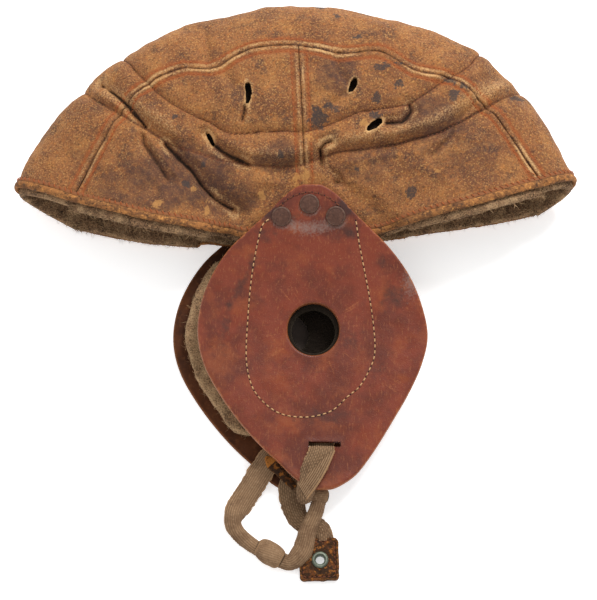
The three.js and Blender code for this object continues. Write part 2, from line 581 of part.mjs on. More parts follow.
// A flat strap whose middle follows a table of stations.
function strapGeometry(stations, thickness = WEBBING) {
  const points = stations.map((p) => new THREE.Vector3(p.x, p.y, p.z));
  const rings = stations.map((station, i) => {
    const run = points[Math.min(i + 1, points.length - 1)].clone().sub(points[Math.max(i - 1, 0)]).normalize();
    const level = new THREE.Vector3(-run.y, run.x, 0).normalize();
    const across = level.applyAxisAngle(run, THREE.MathUtils.degToRad(station.roll));
    const up = run.clone().cross(across);
    const corners = [[1, 1], [-1, 1], [-1, -1], [1, -1]];
    return corners.map(([a, b]) => points[i].clone()
      .addScaledVector(across, (a * station.width) / 2)
      .addScaledVector(up, (b * thickness) / 2));
  });
  return loftGeometry(rings);
}

// A knot in webbing: a fat barrel with flat ends, along x before it is turned.
function knotGeometry(knot) {
  const rings = KNOT_SWELL.map((size, i) => {
    const x = knot.long * (i / (KNOT_SWELL.length - 1) - 0.5);
    return Array.from({ length: KNOT_SIDES }, (_, j) => {
      const turn = (j / KNOT_SIDES) * Math.PI * 2;
      const y = (Math.cos(turn) * size * knot.wide) / 2;
      return new THREE.Vector3(x, y, (Math.sin(turn) * size * knot.tall) / 2);
    });
  });
  return loftGeometry(rings);
}

// A flat plate between the left and right edges of a flap, bent to the height of its underside.
function flapPlate({ top, bottom, inset, thickness, under, rows }) {
  const layer = (rise) => steps(bottom, top, rows).map((y) => {
    const left = flapLeft(y) + inset;
    const right = flapRight(y) - inset;
    return steps(left, right, FLAP_CELLS.across).map((x) => new THREE.Vector3(x, y, under(y) + rise));
  });
  return shellGeometry(layer(thickness), layer(0));
}

function toSolid(geometry) {
  const plain = geometry.clone();
  plain.deleteAttribute('normal');
  plain.deleteAttribute('uv');
  const merged = mergeVertices(plain, MERGE_WITHIN / 10);
  return new wasm.Manifold(new wasm.Mesh({
    numProp: 3,
    vertProperties: new Float32Array(merged.attributes.position.array),
    triVerts: new Uint32Array(merged.index.array),
  }));
}

function fromSolid(solid) {
  const mesh = solid.getMesh();
  const geometry = new THREE.BufferGeometry();
  geometry.setAttribute('position', new THREE.BufferAttribute(new Float32Array(mesh.vertProperties), 3));
  geometry.setIndex(new THREE.BufferAttribute(new Uint32Array(mesh.triVerts), 1));
  return geometry;
}

// Cuts each tool out of a geometry.
function cut(geometry, tools) {
  const solid = tools.reduce((rest, tool) => rest.subtract(toSolid(tool)), toSolid(geometry));
  return fromSolid(solid);
}

// An upright drill of the given radius, standing through all heights of the part.
function uprightDrill(x, y, radius, sides) {
  const drill = new THREE.CylinderGeometry(radius, radius, DRILL_LENGTH, sides);
  drill.rotateX(Math.PI / 2);
  drill.translate(x, y, 0);
  return drill;
}

// A vent's cutter: a worn slit standing through one side's leather.
function ventCutter(vent, z) {
  const tool = new THREE.CylinderGeometry(vent.width / 2, vent.width / 2, VENT_TOOL, ROUND_SIDES.vent);
  tool.scale(1, 1, vent.length / vent.width);
  tool.rotateX(Math.PI / 2);
  tool.rotateZ(THREE.MathUtils.degToRad(vent.turn));
  tool.translate(vent.x, vent.y, z);
  return tool;
}

// Where a rivet sits on a flap's outer face, with local +Z pointing out of the flap.
function rivetMatrix(place, side) {
  const rise = side.under(place.y + 1) - side.under(place.y - 1);
  const outward = new THREE.Vector3(0, (-side.out * rise) / 2, side.out).normalize();
  const z = side.under(place.y) + (side.out > 0 ? FLAP_LEATHER : 0);
  const turn = new THREE.Quaternion().setFromUnitVectors(new THREE.Vector3(0, 0, 1), outward);
  const at = new THREE.Vector3(place.x + side.shift.x, place.y + side.shift.y, z);
  return new THREE.Matrix4().compose(at, turn, new THREE.Vector3(1, 1, 1));
}

function rivetGeometry() {
  const inner = -(FLAP_LEATHER + LEATHER + GAP);
  const top = GAP + RIVET.headHeight;
  const profile = [
    [0, inner], [RIVET.shank, inner], [RIVET.shank, GAP], [RIVET.head, GAP], [RIVET.head, top - RIVET.rim],
    [RIVET.head - RIVET.rim, top], [0, top],
  ].map(([r, z]) => new THREE.Vector2(r, z));
  const geometry = new THREE.LatheGeometry(profile, ROUND_SIDES.rivet);
  geometry.rotateX(Math.PI / 2);
  return tidyLathe(geometry);
}

// A lathe's seam and poles are merged, so that its surface is closed.
function tidyLathe(geometry) {
  return cleanGeometry(Array.from(geometry.attributes.position.array), Array.from(geometry.index.array));
}

function rivetDrill() {
  const drill = new THREE.CylinderGeometry(RIVET.hole, RIVET.hole, RIVET_DRILL_LENGTH, ROUND_SIDES.rivetHole);
  drill.rotateX(Math.PI / 2);
  return drill;
}

function rivetDrills(side) {
  return RIVET_PLACES.map((place) => rivetDrill().applyMatrix4(rivetMatrix(place, side)));
}

function earFlap(side) {
  const plate = flapPlate({
    top: FLAP_ROWS[0].y, bottom: FLAP_ROWS[FLAP_ROWS.length - 1].y, inset: 0,
    thickness: FLAP_LEATHER, under: side.under, rows: FLAP_CELLS.rows,
  });
  plate.translate(side.shift.x, side.shift.y, 0);
  const slot = new THREE.BoxGeometry(STRAP_SLOT.width, STRAP_SLOT.height, DRILL_LENGTH);
  slot.translate(STRAP_SLOT.x + side.shift.x, STRAP_SLOT.y + side.shift.y, 0);
  const earPlace = [EAR_HOLE.x + side.shift.x, EAR_HOLE.y + side.shift.y];
  const ear = uprightDrill(...earPlace, EAR_HOLE.radius, ROUND_SIDES.ear);
  return cut(plate, [ear, slot, ...rivetDrills(side)]);
}

function flapPad(side) {
  const lift = side.out > 0 ? -(GAP + PAD_FELT) : FLAP_LEATHER + GAP;
  const plate = flapPlate({
    ...PAD_SPAN, thickness: PAD_FELT, rows: PAD_ROWS, under: (y) => side.under(y) + lift,
  });
  plate.translate(side.shift.x, side.shift.y, 0);
  const earPlace = [EAR_HOLE.x + side.shift.x, EAR_HOLE.y + side.shift.y];
  const ear = uprightDrill(...earPlace, PAD_HOLE_RADIUS, ROUND_SIDES.padEar);
  return cut(plate, [ear]);
}

function sidePanel(side, sValues, vents) {
  const tValuesAt = (s) => {
    const reach = plainCrown(s, BAND_SHARE * side.out).distanceTo(plainCrown(s, side.out));
    const edge = BAND_SHARE + Math.min(SEAM_CLEARANCE.across / reach, SEAM_CLEARANCE.most);
    return panelRows(s, side.out, edge);
  };
  const z = side.out > 0 ? LEFT_VENT_Z : 0;
  const tools = vents.map((vent) => ventCutter(vent, z));
  return cut(crownLeather(sValues, tValuesAt), [...tools, ...rivetDrills(side)]);
}

function centreBand() {
  const band = crownLeather(steps(0, 1, CROWN_COLUMNS), () => steps(-BAND_SHARE, BAND_SHARE, BAND_CELLS));
  const tool = new THREE.CylinderGeometry(1, 1, VENT_TOOL / 2 / TOP_VENT.long, ROUND_SIDES.vent);
  tool.scale(TOP_VENT.wide, TOP_VENT.long, TOP_VENT.tall);
  tool.translate(TOP_VENT.x, TOP_VENT.y, TOP_VENT.z);
  return cut(band, [tool]);
}

function leatherTab() {
  const shape = new THREE.Shape();
  const [w, l, c] = [TAB.width / 2 - TAB.bevel, TAB.length / 2 - TAB.bevel, TAB.corner];
  shape.moveTo(-w + c, -l);
  shape.lineTo(w - c, -l);
  shape.absarc(w - c, -l + c, c, -Math.PI / 2, 0);
  shape.absarc(w - c, l - c, c, 0, Math.PI / 2);
  shape.absarc(-w + c, l - c, c, Math.PI / 2, Math.PI);
  shape.absarc(-w + c, -l + c, c, Math.PI, Math.PI * 1.5);
  const depth = TAB.height - 2 * TAB.bevel;
  const bevel = { bevelThickness: TAB.bevel, bevelSize: TAB.bevel, bevelSegments: 1 };
  const block = new THREE.ExtrudeGeometry(shape, { depth, curveSegments: TAB.curve, ...bevel });
  block.translate(0, 0, TAB.bevel);
  block.rotateZ(THREE.MathUtils.degToRad(TAB.turn));
  block.translate(TAB.x, TAB.y, 0);
  return cut(block, [uprightDrill(EYELET.x, EYELET.y, EYELET.bore, ROUND_SIDES.eyelet)]);
}

function eyeletGeometry() {
  const seat = TAB.height + GAP;
  const profile = [
    [EYELET.hole, GAP], [EYELET.barrel, GAP], [EYELET.barrel, seat], [EYELET.flange, seat],
    [EYELET.flange - EYELET.edge, seat + EYELET.rise], [EYELET.hole + EYELET.roll, seat + EYELET.rise],
    [EYELET.hole, seat + EYELET.rise - EYELET.roll], [EYELET.hole, GAP],
  ].map(([r, z]) => new THREE.Vector2(r, z));
  const geometry = new THREE.LatheGeometry(profile, ROUND_SIDES.eyelet);
  geometry.rotateX(Math.PI / 2);
  geometry.translate(EYELET.x, EYELET.y, 0);
  return tidyLathe(geometry);
}

const helmet = new THREE.Group();

function add(name, geometry, finish) {
  geometry.computeVertexNormals();
  const mesh = new THREE.Mesh(geometry, new THREE.MeshStandardMaterial(COLOURS[finish]));
  mesh.name = name;
  helmet.add(mesh);
  return mesh;
}

// The left side faces up and the right side down.
const LEFT = { name: 'left', out: 1, under: leftFlapUnder, shift: { x: 0, y: 0 } };
const RIGHT = { name: 'right', out: -1, under: rightFlapUnder, shift: RIGHT_SHIFT };

const half = steps(0, 0.5, CROWN_COLUMNS / 2);
const frontColumns = [SEAM_CLEARANCE.end, ...half.slice(1, -1), 0.5 - SEAM_CLEARANCE.middle];
const backColumns = frontColumns.map((s) => 1 - s).reverse();

add('centre_band', centreBand(), 'crown');
for (const side of [LEFT, RIGHT]) {
  add(`${side.name}_front_panel`, sidePanel(side, frontColumns, VENTS.slice(0, 2)), 'crown');
  add(`${side.name}_back_panel`, sidePanel(side, backColumns, VENTS.slice(2)), 'crown');
}
add('felt_lining_left', feltLining(1), 'felt');
add('felt_lining_right', feltLining(-1), 'felt');
add('rim_binding', rimBinding(), 'binding');

for (const side of [LEFT, RIGHT]) {
  add(`${side.name}_ear_flap`, earFlap(side), 'flap');
  add(`${side.name}_flap_pad`, flapPad(side), 'felt');
  RIVET_PLACES.forEach((place, i) => {
    const rivet = add(`${side.name}_rivet_${i + 1}`, rivetGeometry(), 'rivet');
    rivetMatrix(place, side).decompose(rivet.position, rivet.quaternion, rivet.scale);
  });
}

for (const [name, knot] of [['slot_strap_knot', SLOT_KNOT], ['chin_strap_knot', CHIN_KNOT]]) {
  const mesh = add(name, knotGeometry(knot), 'webbing');
  mesh.position.set(knot.x, knot.y, knot.z);
  mesh.rotation.z = THREE.MathUtils.degToRad(knot.turn);
}
add('slot_strap', strapGeometry(SLOT_STRAP), 'webbing');
add('chin_strap_aft', strapGeometry(CHIN_AFT), 'webbing');
add('chin_strap_fore', strapGeometry(CHIN_FORE), 'webbing');
add('tab_strap', strapGeometry(TAB_STRAP), 'webbing');
add('anchor_strip', strapGeometry(ANCHOR_STRIP, STRIP_THICKNESS), 'tab');
add('leather_tab', leatherTab(), 'tab');
add('tab_eyelet', eyeletGeometry(), 'eyelet');

// The origin is under the middle of the whole part, on the surface that it lies on.
const box = new THREE.Box3().setFromObject(helmet, true);
helmet.position.set(-(box.min.x + box.max.x) / 2, -(box.min.y + box.max.y) / 2, -box.min.z);

export default helmet;
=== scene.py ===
"""An old leather football helmet, lying flattened on its right side, finished for rendering.

Lengths are millimetres in the helmet's own frame: X from brow to nape, Y from the ear flaps' tips
to the crown's top, Z up from the surface that it lies on. Meshes are made in metres.
"""
import logging
import math
from dataclasses import dataclass, field
from enum import Enum
from functools import reduce
from typing import Optional, Sequence

import bmesh
import bpy
import numpy as np
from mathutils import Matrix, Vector


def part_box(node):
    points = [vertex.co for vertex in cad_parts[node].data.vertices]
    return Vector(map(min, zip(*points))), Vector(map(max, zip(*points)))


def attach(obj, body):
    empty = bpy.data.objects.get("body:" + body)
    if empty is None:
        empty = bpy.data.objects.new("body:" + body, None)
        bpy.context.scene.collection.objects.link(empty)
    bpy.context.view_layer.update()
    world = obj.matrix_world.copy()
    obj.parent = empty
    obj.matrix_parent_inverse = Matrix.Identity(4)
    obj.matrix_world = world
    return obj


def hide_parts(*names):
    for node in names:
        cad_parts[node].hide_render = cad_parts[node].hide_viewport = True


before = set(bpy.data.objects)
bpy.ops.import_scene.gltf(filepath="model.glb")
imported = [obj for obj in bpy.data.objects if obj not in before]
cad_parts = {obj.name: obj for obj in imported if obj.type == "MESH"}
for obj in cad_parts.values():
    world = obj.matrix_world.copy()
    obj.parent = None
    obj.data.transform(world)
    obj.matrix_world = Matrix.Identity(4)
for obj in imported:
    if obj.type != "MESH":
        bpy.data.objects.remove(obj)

LOG = logging.getLogger("helmet")
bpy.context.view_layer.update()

MM = 0.001
LEATHER = 2.0
FELT = 4.0
GAP = 0.3
FLAP_LEATHER = 3.0
PAD_FELT = 6.0
WEBBING_WIDTH = 12.6

# The eyelet's centre in the helmet's own frame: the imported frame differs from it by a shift.
EYELET_X = 10.8
EYELET_Y = -131.8


def packed_shift() -> np.ndarray:
    """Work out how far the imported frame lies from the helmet's own frame.

    Returns:
        The shift in millimetres.
    """
    low, high = (np.array(corner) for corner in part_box("tab_eyelet"))
    middle = (low + high) / 2 / MM
    return np.array([middle[0] - EYELET_X, middle[1] - EYELET_Y, 0.0])


SHIFT = packed_shift()
# The height of the surface that the helmet lies on.
FLOOR_Z = 0.0

# The crown from brow to nape: fold x, y, z along the top, seam x, y beside the band, left seam z.
CROWN_SECTIONS = np.array([
    (-143.5, 61.5, 22, -112.5, 49.5, 41), (-136.5, 76, 23, -107, 61, 43),
    (-123.5, 94, 25, -99.5, 74.5, 46), (-107.3, 111.6, 27, -87.5, 94.5, 49),
    (-90, 124, 29, -74.5, 105, 52), (-68, 137.5, 30, -59, 111.2, 54),
    (-46, 145.8, 30, -43, 111.5, 55), (-22, 149.8, 30, -25, 120.8, 56),
    (1, 151.7, 30, 0, 122.8, 56), (25, 150, 30, 21, 118.5, 56),
    (48, 145, 29, 41, 119.8, 55), (70, 138.3, 29, 59, 110.5, 54),
    (91, 128.6, 28, 80, 106, 52), (108, 114.3, 26, 95, 94, 49),
    (123, 96, 24, 107, 79, 46), (134, 77.5, 23, 116, 66, 43), (140.3, 64.5, 22, 121.5, 57.5, 41),
])

# The leather's edge above the binding: x, left y, left z, right y, right z.
RIM = np.array([
    (-112.5, 49.5, 41, 45.5, 3.2), (-92, 42.3, 48, 41, 2.2), (-77, 38.2, 49, 38.6, 2.2),
    (-63, 36.2, 47, 37.2, 2.2), (-49, 35.4, 41, 36.4, 2.4), (-35, 34, 36, 36, 3),
    (-18, 32.8, 34, 36, 4), (7, 32.4, 33.5, 36.5, 4), (30, 33.6, 35, 38.5, 3),
    (46, 36, 38.5, 40.5, 2.4), (64, 40.6, 43, 43.5, 2.2), (86, 45.2, 48, 46.7, 2.2),
    (105, 51.5, 46, 49.6, 2.6), (121.5, 57.5, 41, 53.5, 3.2),
])

# An ear flap from top to tip: how far down (-y), left edge x, right edge x.
FLAP_ROWS = np.array([
    (-54, 2.4, 10.8), (-51.6, -2.6, 15.4), (-46.6, -8.6, 21.8), (-39.8, -15.6, 28.2), (-32.4, -24, 36.4),
    (-23, -34.6, 46), (-10, -43.6, 55.8), (5, -49.5, 62.3), (21, -51, 65.4), (36, -47.5, 62),
    (50, -40, 55.5), (64, -30, 47.3), (77, -18.5, 39.3), (86, -8.7, 33), (92, -3, 28),
    (97, 3.8, 20.5), (99, 9, 16),
])

# The left flap's underside: y, z.
LEFT_FLAP_RISE = np.array([
    (-110, 14.2), (-99, 14.4), (-80, 15.3), (-60, 17), (-40, 19), (-20, 21), (0, 24.2),
    (15, 27.8), (29, 32), (40, 35.8), (56, 41), (66, 45.5), (80, 54), (95, 66),
])
RIGHT_FLAP_LIFT = 1.7
RIGHT_SHIFT_X = -13.3
RIGHT_SHIFT_Y = 1.5
# Where along y the right flap lifts off the surface, to reach the crown's lower wall.
RIGHT_LIFT_SPAN = (12, 34)
# The crown's leather follows a flap over this margin round it, and then falls away at this slope.
FLAP_MARGIN = 5.0
BED_SLOPE = 0.025
# The room between a flap and the crown, over the binding and at the rivets, and where it narrows.
BINDING_ROOM = 1.4
RIVET_ROOM = 0.55
ROOM_SPAN = (34, 41)

# The quilting rings sewn round the head, as they run across a side: x, y.
LOWER_RING = np.array([
    (-125, 116), (-111.9, 107.2), (-104.2, 98.6), (-95.9, 92.7), (-88.5, 87.8), (-83.3, 83.9),
    (-76.9, 79.9), (-71.8, 76.3), (-66.4, 72.9), (-59.4, 69.9), (-50.5, 67.6), (-39.3, 64.2),
    (-24.9, 62.0), (-8.3, 61.2), (0.4, 62.4), (10.9, 64.8), (18.4, 67.4), (24.4, 68.5),
    (34.2, 69.8), (42.7, 71.1), (49.6, 71.8), (55.9, 73.7), (63.9, 75.7), (72.2, 78.4),
    (78.7, 82.1), (84.7, 85.5), (90.5, 89.6), (96.3, 93.1), (100.9, 96.6), (110.8, 103.7),
    (125, 113),
])
UPPER_RING = np.array([
    (-100, 133), (-87.1, 118.6), (-83.5, 112.3), (-76.2, 103.9), (-72.1, 99.2), (-65.0, 93.1),
    (-57.9, 88.7), (-50.8, 85.0), (-44.6, 82.4), (-39.6, 79.0), (-34.0, 76.8), (-26.4, 76.9),
    (-17, 78.1), (-4.5, 78.2), (3.1, 78.0), (12.9, 80.4), (22.2, 84.1), (30.4, 87.7),
    (43.6, 90.1), (50.9, 91.2), (56.3, 92.4), (65.3, 98.8), (72.7, 104.4), (76.9, 107.4),
    (82.2, 110.9), (87.6, 115.8), (94.4, 126.3), (104, 138),
])


@dataclass(frozen=True)
class Crease:
    """A fold pressed into the crown's left side.

    Attributes:
        path: The crease's places (x, y) from one end to the other.
        depth: How deep the broad dip is.
        reach: How wide the broad dip is.
        sharp: How deep the sharp line at its bottom is.
    """

    path: tuple
    depth: float
    reach: float
    sharp: float


CREASES = (
    Crease(((-102.1, 108.4), (-95.7, 102), (-88, 94.4), (-82.2, 87.2), (-77.9, 81.6)), 3.2, 4.5, 1.4),
    Crease(((-46.4, 77.2), (-43.7, 72.2), (-38.5, 68.3), (-33.4, 65.5), (-24.9, 62)), 2.6, 4.0, 1.4),
    Crease(((-67.2, 72.2), (-61.4, 66.2), (-54, 59.5), (-46.8, 50.6), (-41.2, 45.3), (-31.8, 39.3)),
           3.4, 5.5, 1.3),
    Crease(((-79.4, 76.9), (-78.5, 72.2), (-74, 66), (-70.5, 60.9), (-65.5, 54)), 2.4, 4.5, 0.8),
    Crease(((16.3, 73.3), (13, 71.9), (10.8, 68.8), (11.4, 63.8), (12, 60.7), (14.1, 58.1), (18.7, 54.3)),
           3.2, 4.5, 1.4),
    Crease(((56.3, 91.6), (57, 88.6), (54.7, 85.1), (52.1, 82.7), (44.4, 82.4)), 2.4, 4.0, 1.2),
    Crease(((78.7, 82.1), (77.5, 75.9), (71.8, 70.9), (67.5, 66.5)), 2.2, 4.5, 0.6),
    Crease(((19.8, 116.1), (21, 108), (24.6, 102.4)), 1.2, 3.5, 0.4),
    Crease(((23.2, 97), (18.2, 92)), 1.2, 3.0, 0.3),
    Crease(((39.1, 76.8), (37, 71.6)), 1.6, 3.0, 0.6),
    Crease(((102.6, 114.1), (94.4, 101.7), (91.6, 96.6), (86.6, 90.5), (79, 82)), 3.0, 5.5, 0.35),
    Crease(((-48.5, 136.3), (-46.9, 125), (-46, 114.6)), 1.4, 4.0, 0.3),
    Crease(((-70.6, 54.2), (-71.4, 42.3)), 0.8, 3.5, 0.3),
    Crease(((-38.6, 111.9), (-33.4, 102.4)), 1.4, 4.5, 0.2),
    Crease(((21.1, 49.8), (27.2, 59.9), (47.2, 66.1)), 1.0, 5.0, 0.0),
    Crease(((-27, 90.5), (-27.6, 86.8), (-28.6, 83.4)), 0.8, 1.6, 1.0),
)

# How deep each quilting ring is pressed in at places along x.
LOWER_RING_DEPTH = np.array([
    (-125, 2.2), (-88, 3.0), (-66, 2.8), (-50, 1.5), (-25, 2.6), (0, 2.4), (20, 2.8), (60, 3.6),
    (90, 3.4), (125, 2.0),
])
UPPER_RING_DEPTH = 1.5
RING_REACH = 4.6
UPPER_RING_REACH = 3.4
# The leather puffs up above the lower ring: how high, how far above it, how wide, and up to where.
PUFF_HEIGHT = 2.4
PUFF_AWAY = 6.0
PUFF_REACH = 4.0
PUFF_LIMIT = 14
# How much deeper than a crease's table says its broad dip and its sharp line are pressed in.
DIP_GAIN = 1.35
LINE_GAIN = 1.5
# How far from a seam the ridge of its turned-in leather and its stitch row lie.
RIDGE_AWAY = 1.45
STITCH_AWAY = 3.7
# The leather's soft wrinkles and the felt's lumps: size and height.
WRINKLES = ((26, 1.1), (11, 0.75), (5, 0.34), (2.2, 0.14))
LINING_LUMPS = ((6, 0.35), (2.6, 0.3), (1.2, 0.16))
PAD_LUMPS = ((5, 0.4), (2.2, 0.45), (1.1, 0.25))
# The flap's leather is a little uneven in two sizes.
FLAP_WARP = ((34, 0.35), (12, 0.12))
FLAP_WARP_SEED = 91


@dataclass(frozen=True)
class Vent:
    """A worn vent through the left side's leather.

    Attributes:
        path: Its places (x, y, half width) from one end to the other.
    """

    path: tuple


VENTS = (
    Vent(((-26.3, 103.4, 0.5), (-25.6, 101.2, 1.6), (-25.1, 97.6, 1.7), (-25.3, 94.2, 1.2),
          (-26.2, 91, 0.5))),
    Vent(((-46.2, 77.6, 0.6), (-45.2, 75.6, 1.1), (-43.9, 73.2, 1.1), (-42.9, 71.6, 0.7))),
    Vent(((28.7, 104.4, 1.2), (28, 102.2, 1.9), (26.9, 99.7, 1.7), (26.2, 98.4, 1.0))),
    Vent(((35.4, 79.6, 1.2), (38, 81.4, 1.9), (40.8, 83.4, 1.6))),
)
# The worn vent on the fold: its x, z, half length, height over length, and the y that it lies above.
TOP_VENT_X = 14.8
TOP_VENT_Z = 32
TOP_VENT_HALF = 4.4
TOP_VENT_SHAPE = 0.62
TOP_VENT_Y = 140

# Dark stains and bare patches on the left side: x, y, half width, half height.
STAINS = (
    (10.2, 84.2, 4.6, 5.6), (16.4, 89.8, 3.6, 3.6), (-9.1, 67.7, 2.4, 3.4), (42.1, 111.2, 4, 2.2),
    (51.1, 102.1, 2.2, 2.6), (39.5, 94.8, 2.6, 3), (77.2, 106, 3, 2), (83.5, 103.2, 2.6, 2.4),
    (78.5, 98.2, 2.4, 4), (112.8, 101, 3.4, 1.8), (29.8, 59.9, 1.8, 1.2), (56.8, 48, 2.6, 3.4),
    (48.9, 114, 3.6, 1.6), (38, 86.4, 3, 2), (20, 141, 3, 2), (-62.5, 85.5, 2.4, 1.2),
    (-47.5, 61.5, 1.6, 1.4), (-56.5, 52.5, 1.6, 1.8), (11, 148, 3, 1.4), (30, 128, 2.6, 1.2),
)
BARE_PATCHES = (
    (33.6, 82, 2.4, 1.8), (-45.6, 39.8, 1.6, 3.4), (-70.3, 41, 2, 2), (-18.4, 48.2, 1.6, 2),
    (5, 75.4, 2, 3), (-52, 50.4, 2.2, 1.4), (70.1, 58.6, 1.4, 1), (-1.5, 57, 2, 4), (3.4, 57.5, 2, 4),
)

# Darker places on the left side, partly soil and partly painted shade low towards the rim: x, y, half width,
# half height, strength.
SOILED_AND_SHADED = (
    (-58, 56, 40, 20, 0.9), (-10, 66, 16, 10, 0.8), (68, 84, 24, 13, 0.9), (20, 106, 15, 12, 0.8),
    (84, 66, 34, 18, 0.55), (-80, 50, 30, 14, 0.7), (-38, 46, 24, 12, 0.75), (-108, 66, 12, 14, 0.5),
    (36, 62, 16, 12, 0.6), (98, 60, 14, 18, 0.35), (-34, 96, 14, 10, 0.4),
)
# The band's half width as a share of t, how far it turns over, and how square its section is.
BAND_SHARE = 0.28
BAND_TURN = math.radians(75)
SQUARENESS = 2.2
BULGE = 0.2
# The right seam's height in the middle and at the ends, and how far the ends drop and reach.
RIGHT_SEAM_RISE = 0.8
RIGHT_END_RISE = 3.2
RIGHT_END_DROP = 4.0
END_REACH = 0.2
RIM_FALL = 1.7
# How far the felt stands out past the leather, on the left edge and the right edge.
FELT_PAST_LEFT = 8.6
FELT_PAST_RIGHT = 6.0


def smooth_value(keys: np.ndarray, values: np.ndarray, at: np.ndarray) -> np.ndarray:
    """Look a smooth value up in a table whose keys rise.

    Args:
        keys: The rising column.
        values: The column that is looked up.
        at: Where it is looked up.

    Returns:
        A cubic value between rows, and a straight line past the ends.
    """
    at = np.asarray(at, float)
    count = len(keys)
    before = np.maximum(np.arange(count) - 1, 0)
    after = np.minimum(np.arange(count) + 1, count - 1)
    slopes = (values[after] - values[before]) / (keys[after] - keys[before])
    i = np.clip(np.searchsorted(keys, at, side="right") - 1, 0, count - 2)
    span = keys[i + 1] - keys[i]
    f = (at - keys[i]) / span
    f2 = f * f
    f3 = f2 * f
    value = (2 * f3 - 3 * f2 + 1) * values[i] + (f3 - 2 * f2 + f) * span * slopes[i]
    value = value + (3 * f2 - 2 * f3) * values[i + 1] + (f3 - f2) * span * slopes[i + 1]
    value = np.where(f < 0, values[i] + (at - keys[i]) * slopes[i], value)
    return np.where(f > 1, values[i + 1] + (at - keys[i + 1]) * slopes[i + 1], value)


def smooth_step(low: float, high: float, value: np.ndarray) -> np.ndarray:
    """Rise smoothly from 0 at low to 1 at high."""
    f = np.clip((np.asarray(value, float) - low) / (high - low), 0, 1)
    return f * f * (3 - 2 * f)


def soft_min(a: np.ndarray, b: np.ndarray, blend: float) -> np.ndarray:
    """Take the lesser of two values, rounded where they meet."""
    return -blend * np.logaddexp(-a / blend, -b / blend)


def bell(distance: np.ndarray, reach: float) -> np.ndarray:
    """Fall smoothly from 1 at no distance to nearly 0 at twice the reach."""
    return np.exp(-((distance / reach) ** 2))


def noise(points: np.ndarray, grain: float, seed: int) -> np.ndarray:
    """Give a smooth random value at each place, the same on each run.

    Args:
        points: Places, as rows of x, y, z.
        grain: The pattern's size.
        seed: Which pattern.

    Returns:
        Values from -1 to 1.
    """
    scaled = points / grain + seed * 17.13
    cell = np.floor(scaled).astype(np.int64)
    f = scaled - cell
    f = f * f * (3 - 2 * f)
    total = np.zeros(len(points))
    for corner in range(8):
        bits = np.array([corner & 1, (corner >> 1) & 1, (corner >> 2) & 1])
        x, y, z = (cell + bits).T
        mixed = (x * 73856093) ^ (y * 19349663) ^ (z * 83492791) ^ (seed * 2654435)
        mixed = ((mixed ^ (mixed >> 13)) * 1274126177) & 0xFFFFFFFF
        mixed = (mixed ^ (mixed >> 16)) & 0xFFFF
        weight = np.prod(np.where(bits == 1, f, 1 - f), axis=1)
        total += weight * (mixed / 32767.5 - 1)
    return total


def rough(points: np.ndarray, grains: Sequence[tuple], seed: int) -> np.ndarray:
    """Add noises of several sizes.

    Args:
        points: Places, as rows of x, y, z.
        grains: Pairs of grain and height.
        seed: Which pattern.

    Returns:
        The summed heights.
    """
    return sum(height * noise(points, grain, seed + k) for k, (grain, height) in enumerate(grains))


def sheet_noise(x: np.ndarray, y: np.ndarray, grains: Sequence[tuple], seed: int) -> np.ndarray:
    """Add noises of several sizes over flat places, in the places' own layout."""
    flat = np.stack([x.ravel(), y.ravel(), np.zeros(x.size)], -1)
    return rough(flat, grains, seed).reshape(x.shape)


def unit(vectors: np.ndarray) -> np.ndarray:
    """Scale vectors to length 1."""
    return vectors / np.maximum(np.linalg.norm(vectors, axis=-1, keepdims=True), 1e-9)


def round_angles(count: int) -> np.ndarray:
    """Give even angles once round."""
    return np.linspace(0, 2 * np.pi, count, endpoint=False)


def run_length(path: np.ndarray) -> np.ndarray:
    """Give how far along a path each of its places lies."""
    return np.concatenate([[0], np.cumsum(np.linalg.norm(np.diff(path, axis=0), axis=1))])


def path_distance(x: np.ndarray, y: np.ndarray, path: np.ndarray) -> tuple:
    """Measure how far places lie from a path.

    Args:
        x: The places' x.
        y: The places' y.
        path: The path's rows of x, y, and a third value if it has one.

    Returns:
        The distance, the nearest x and y, and the third value there.
    """
    path = np.asarray(path, float)
    if path.shape[1] == 2:
        path = np.column_stack([path, np.zeros(len(path))])
    best = np.full(x.shape, np.inf)
    near = [np.zeros(x.shape) for _ in range(3)]
    for a, b in zip(path[:-1], path[1:]):
        d = b - a
        f = np.clip(((x - a[0]) * d[0] + (y - a[1]) * d[1]) / (d[0] ** 2 + d[1] ** 2), 0, 1)
        distance = np.hypot(x - a[0] - f * d[0], y - a[1] - f * d[1])
        closer = distance < best
        best = np.where(closer, distance, best)
        near = [np.where(closer, a[k] + f * d[k], near[k]) for k in range(3)]
    return best, near[0], near[1], near[2]


def flap_left(y: np.ndarray) -> np.ndarray:
    """Give a flap's left edge at y."""
    return smooth_value(FLAP_ROWS[:, 0], FLAP_ROWS[:, 1], -np.asarray(y, float))


def flap_right(y: np.ndarray) -> np.ndarray:
    """Give a flap's right edge at y."""
    return smooth_value(FLAP_ROWS[:, 0], FLAP_ROWS[:, 2], -np.asarray(y, float))


def left_flap_under(y: np.ndarray) -> np.ndarray:
    """Give the height of the left flap's underside at y."""
    return smooth_value(LEFT_FLAP_RISE[:, 0], LEFT_FLAP_RISE[:, 1], y)


def right_flap_under(y: np.ndarray) -> np.ndarray:
    """Give the height of the right flap's underside at y."""
    return RIGHT_FLAP_LIFT * smooth_step(*RIGHT_LIFT_SPAN, y)


def outside_flap(x: np.ndarray, y: np.ndarray) -> np.ndarray:
    """Measure how far a place lies outside a flap's outline, past a flat margin."""
    top = np.minimum(y, -FLAP_ROWS[0, 0])
    beside = np.maximum(np.maximum(flap_left(top) - x, x - flap_right(top)), 0)
    return np.maximum(np.hypot(beside, np.maximum(y - top, 0)) - FLAP_MARGIN, 0)


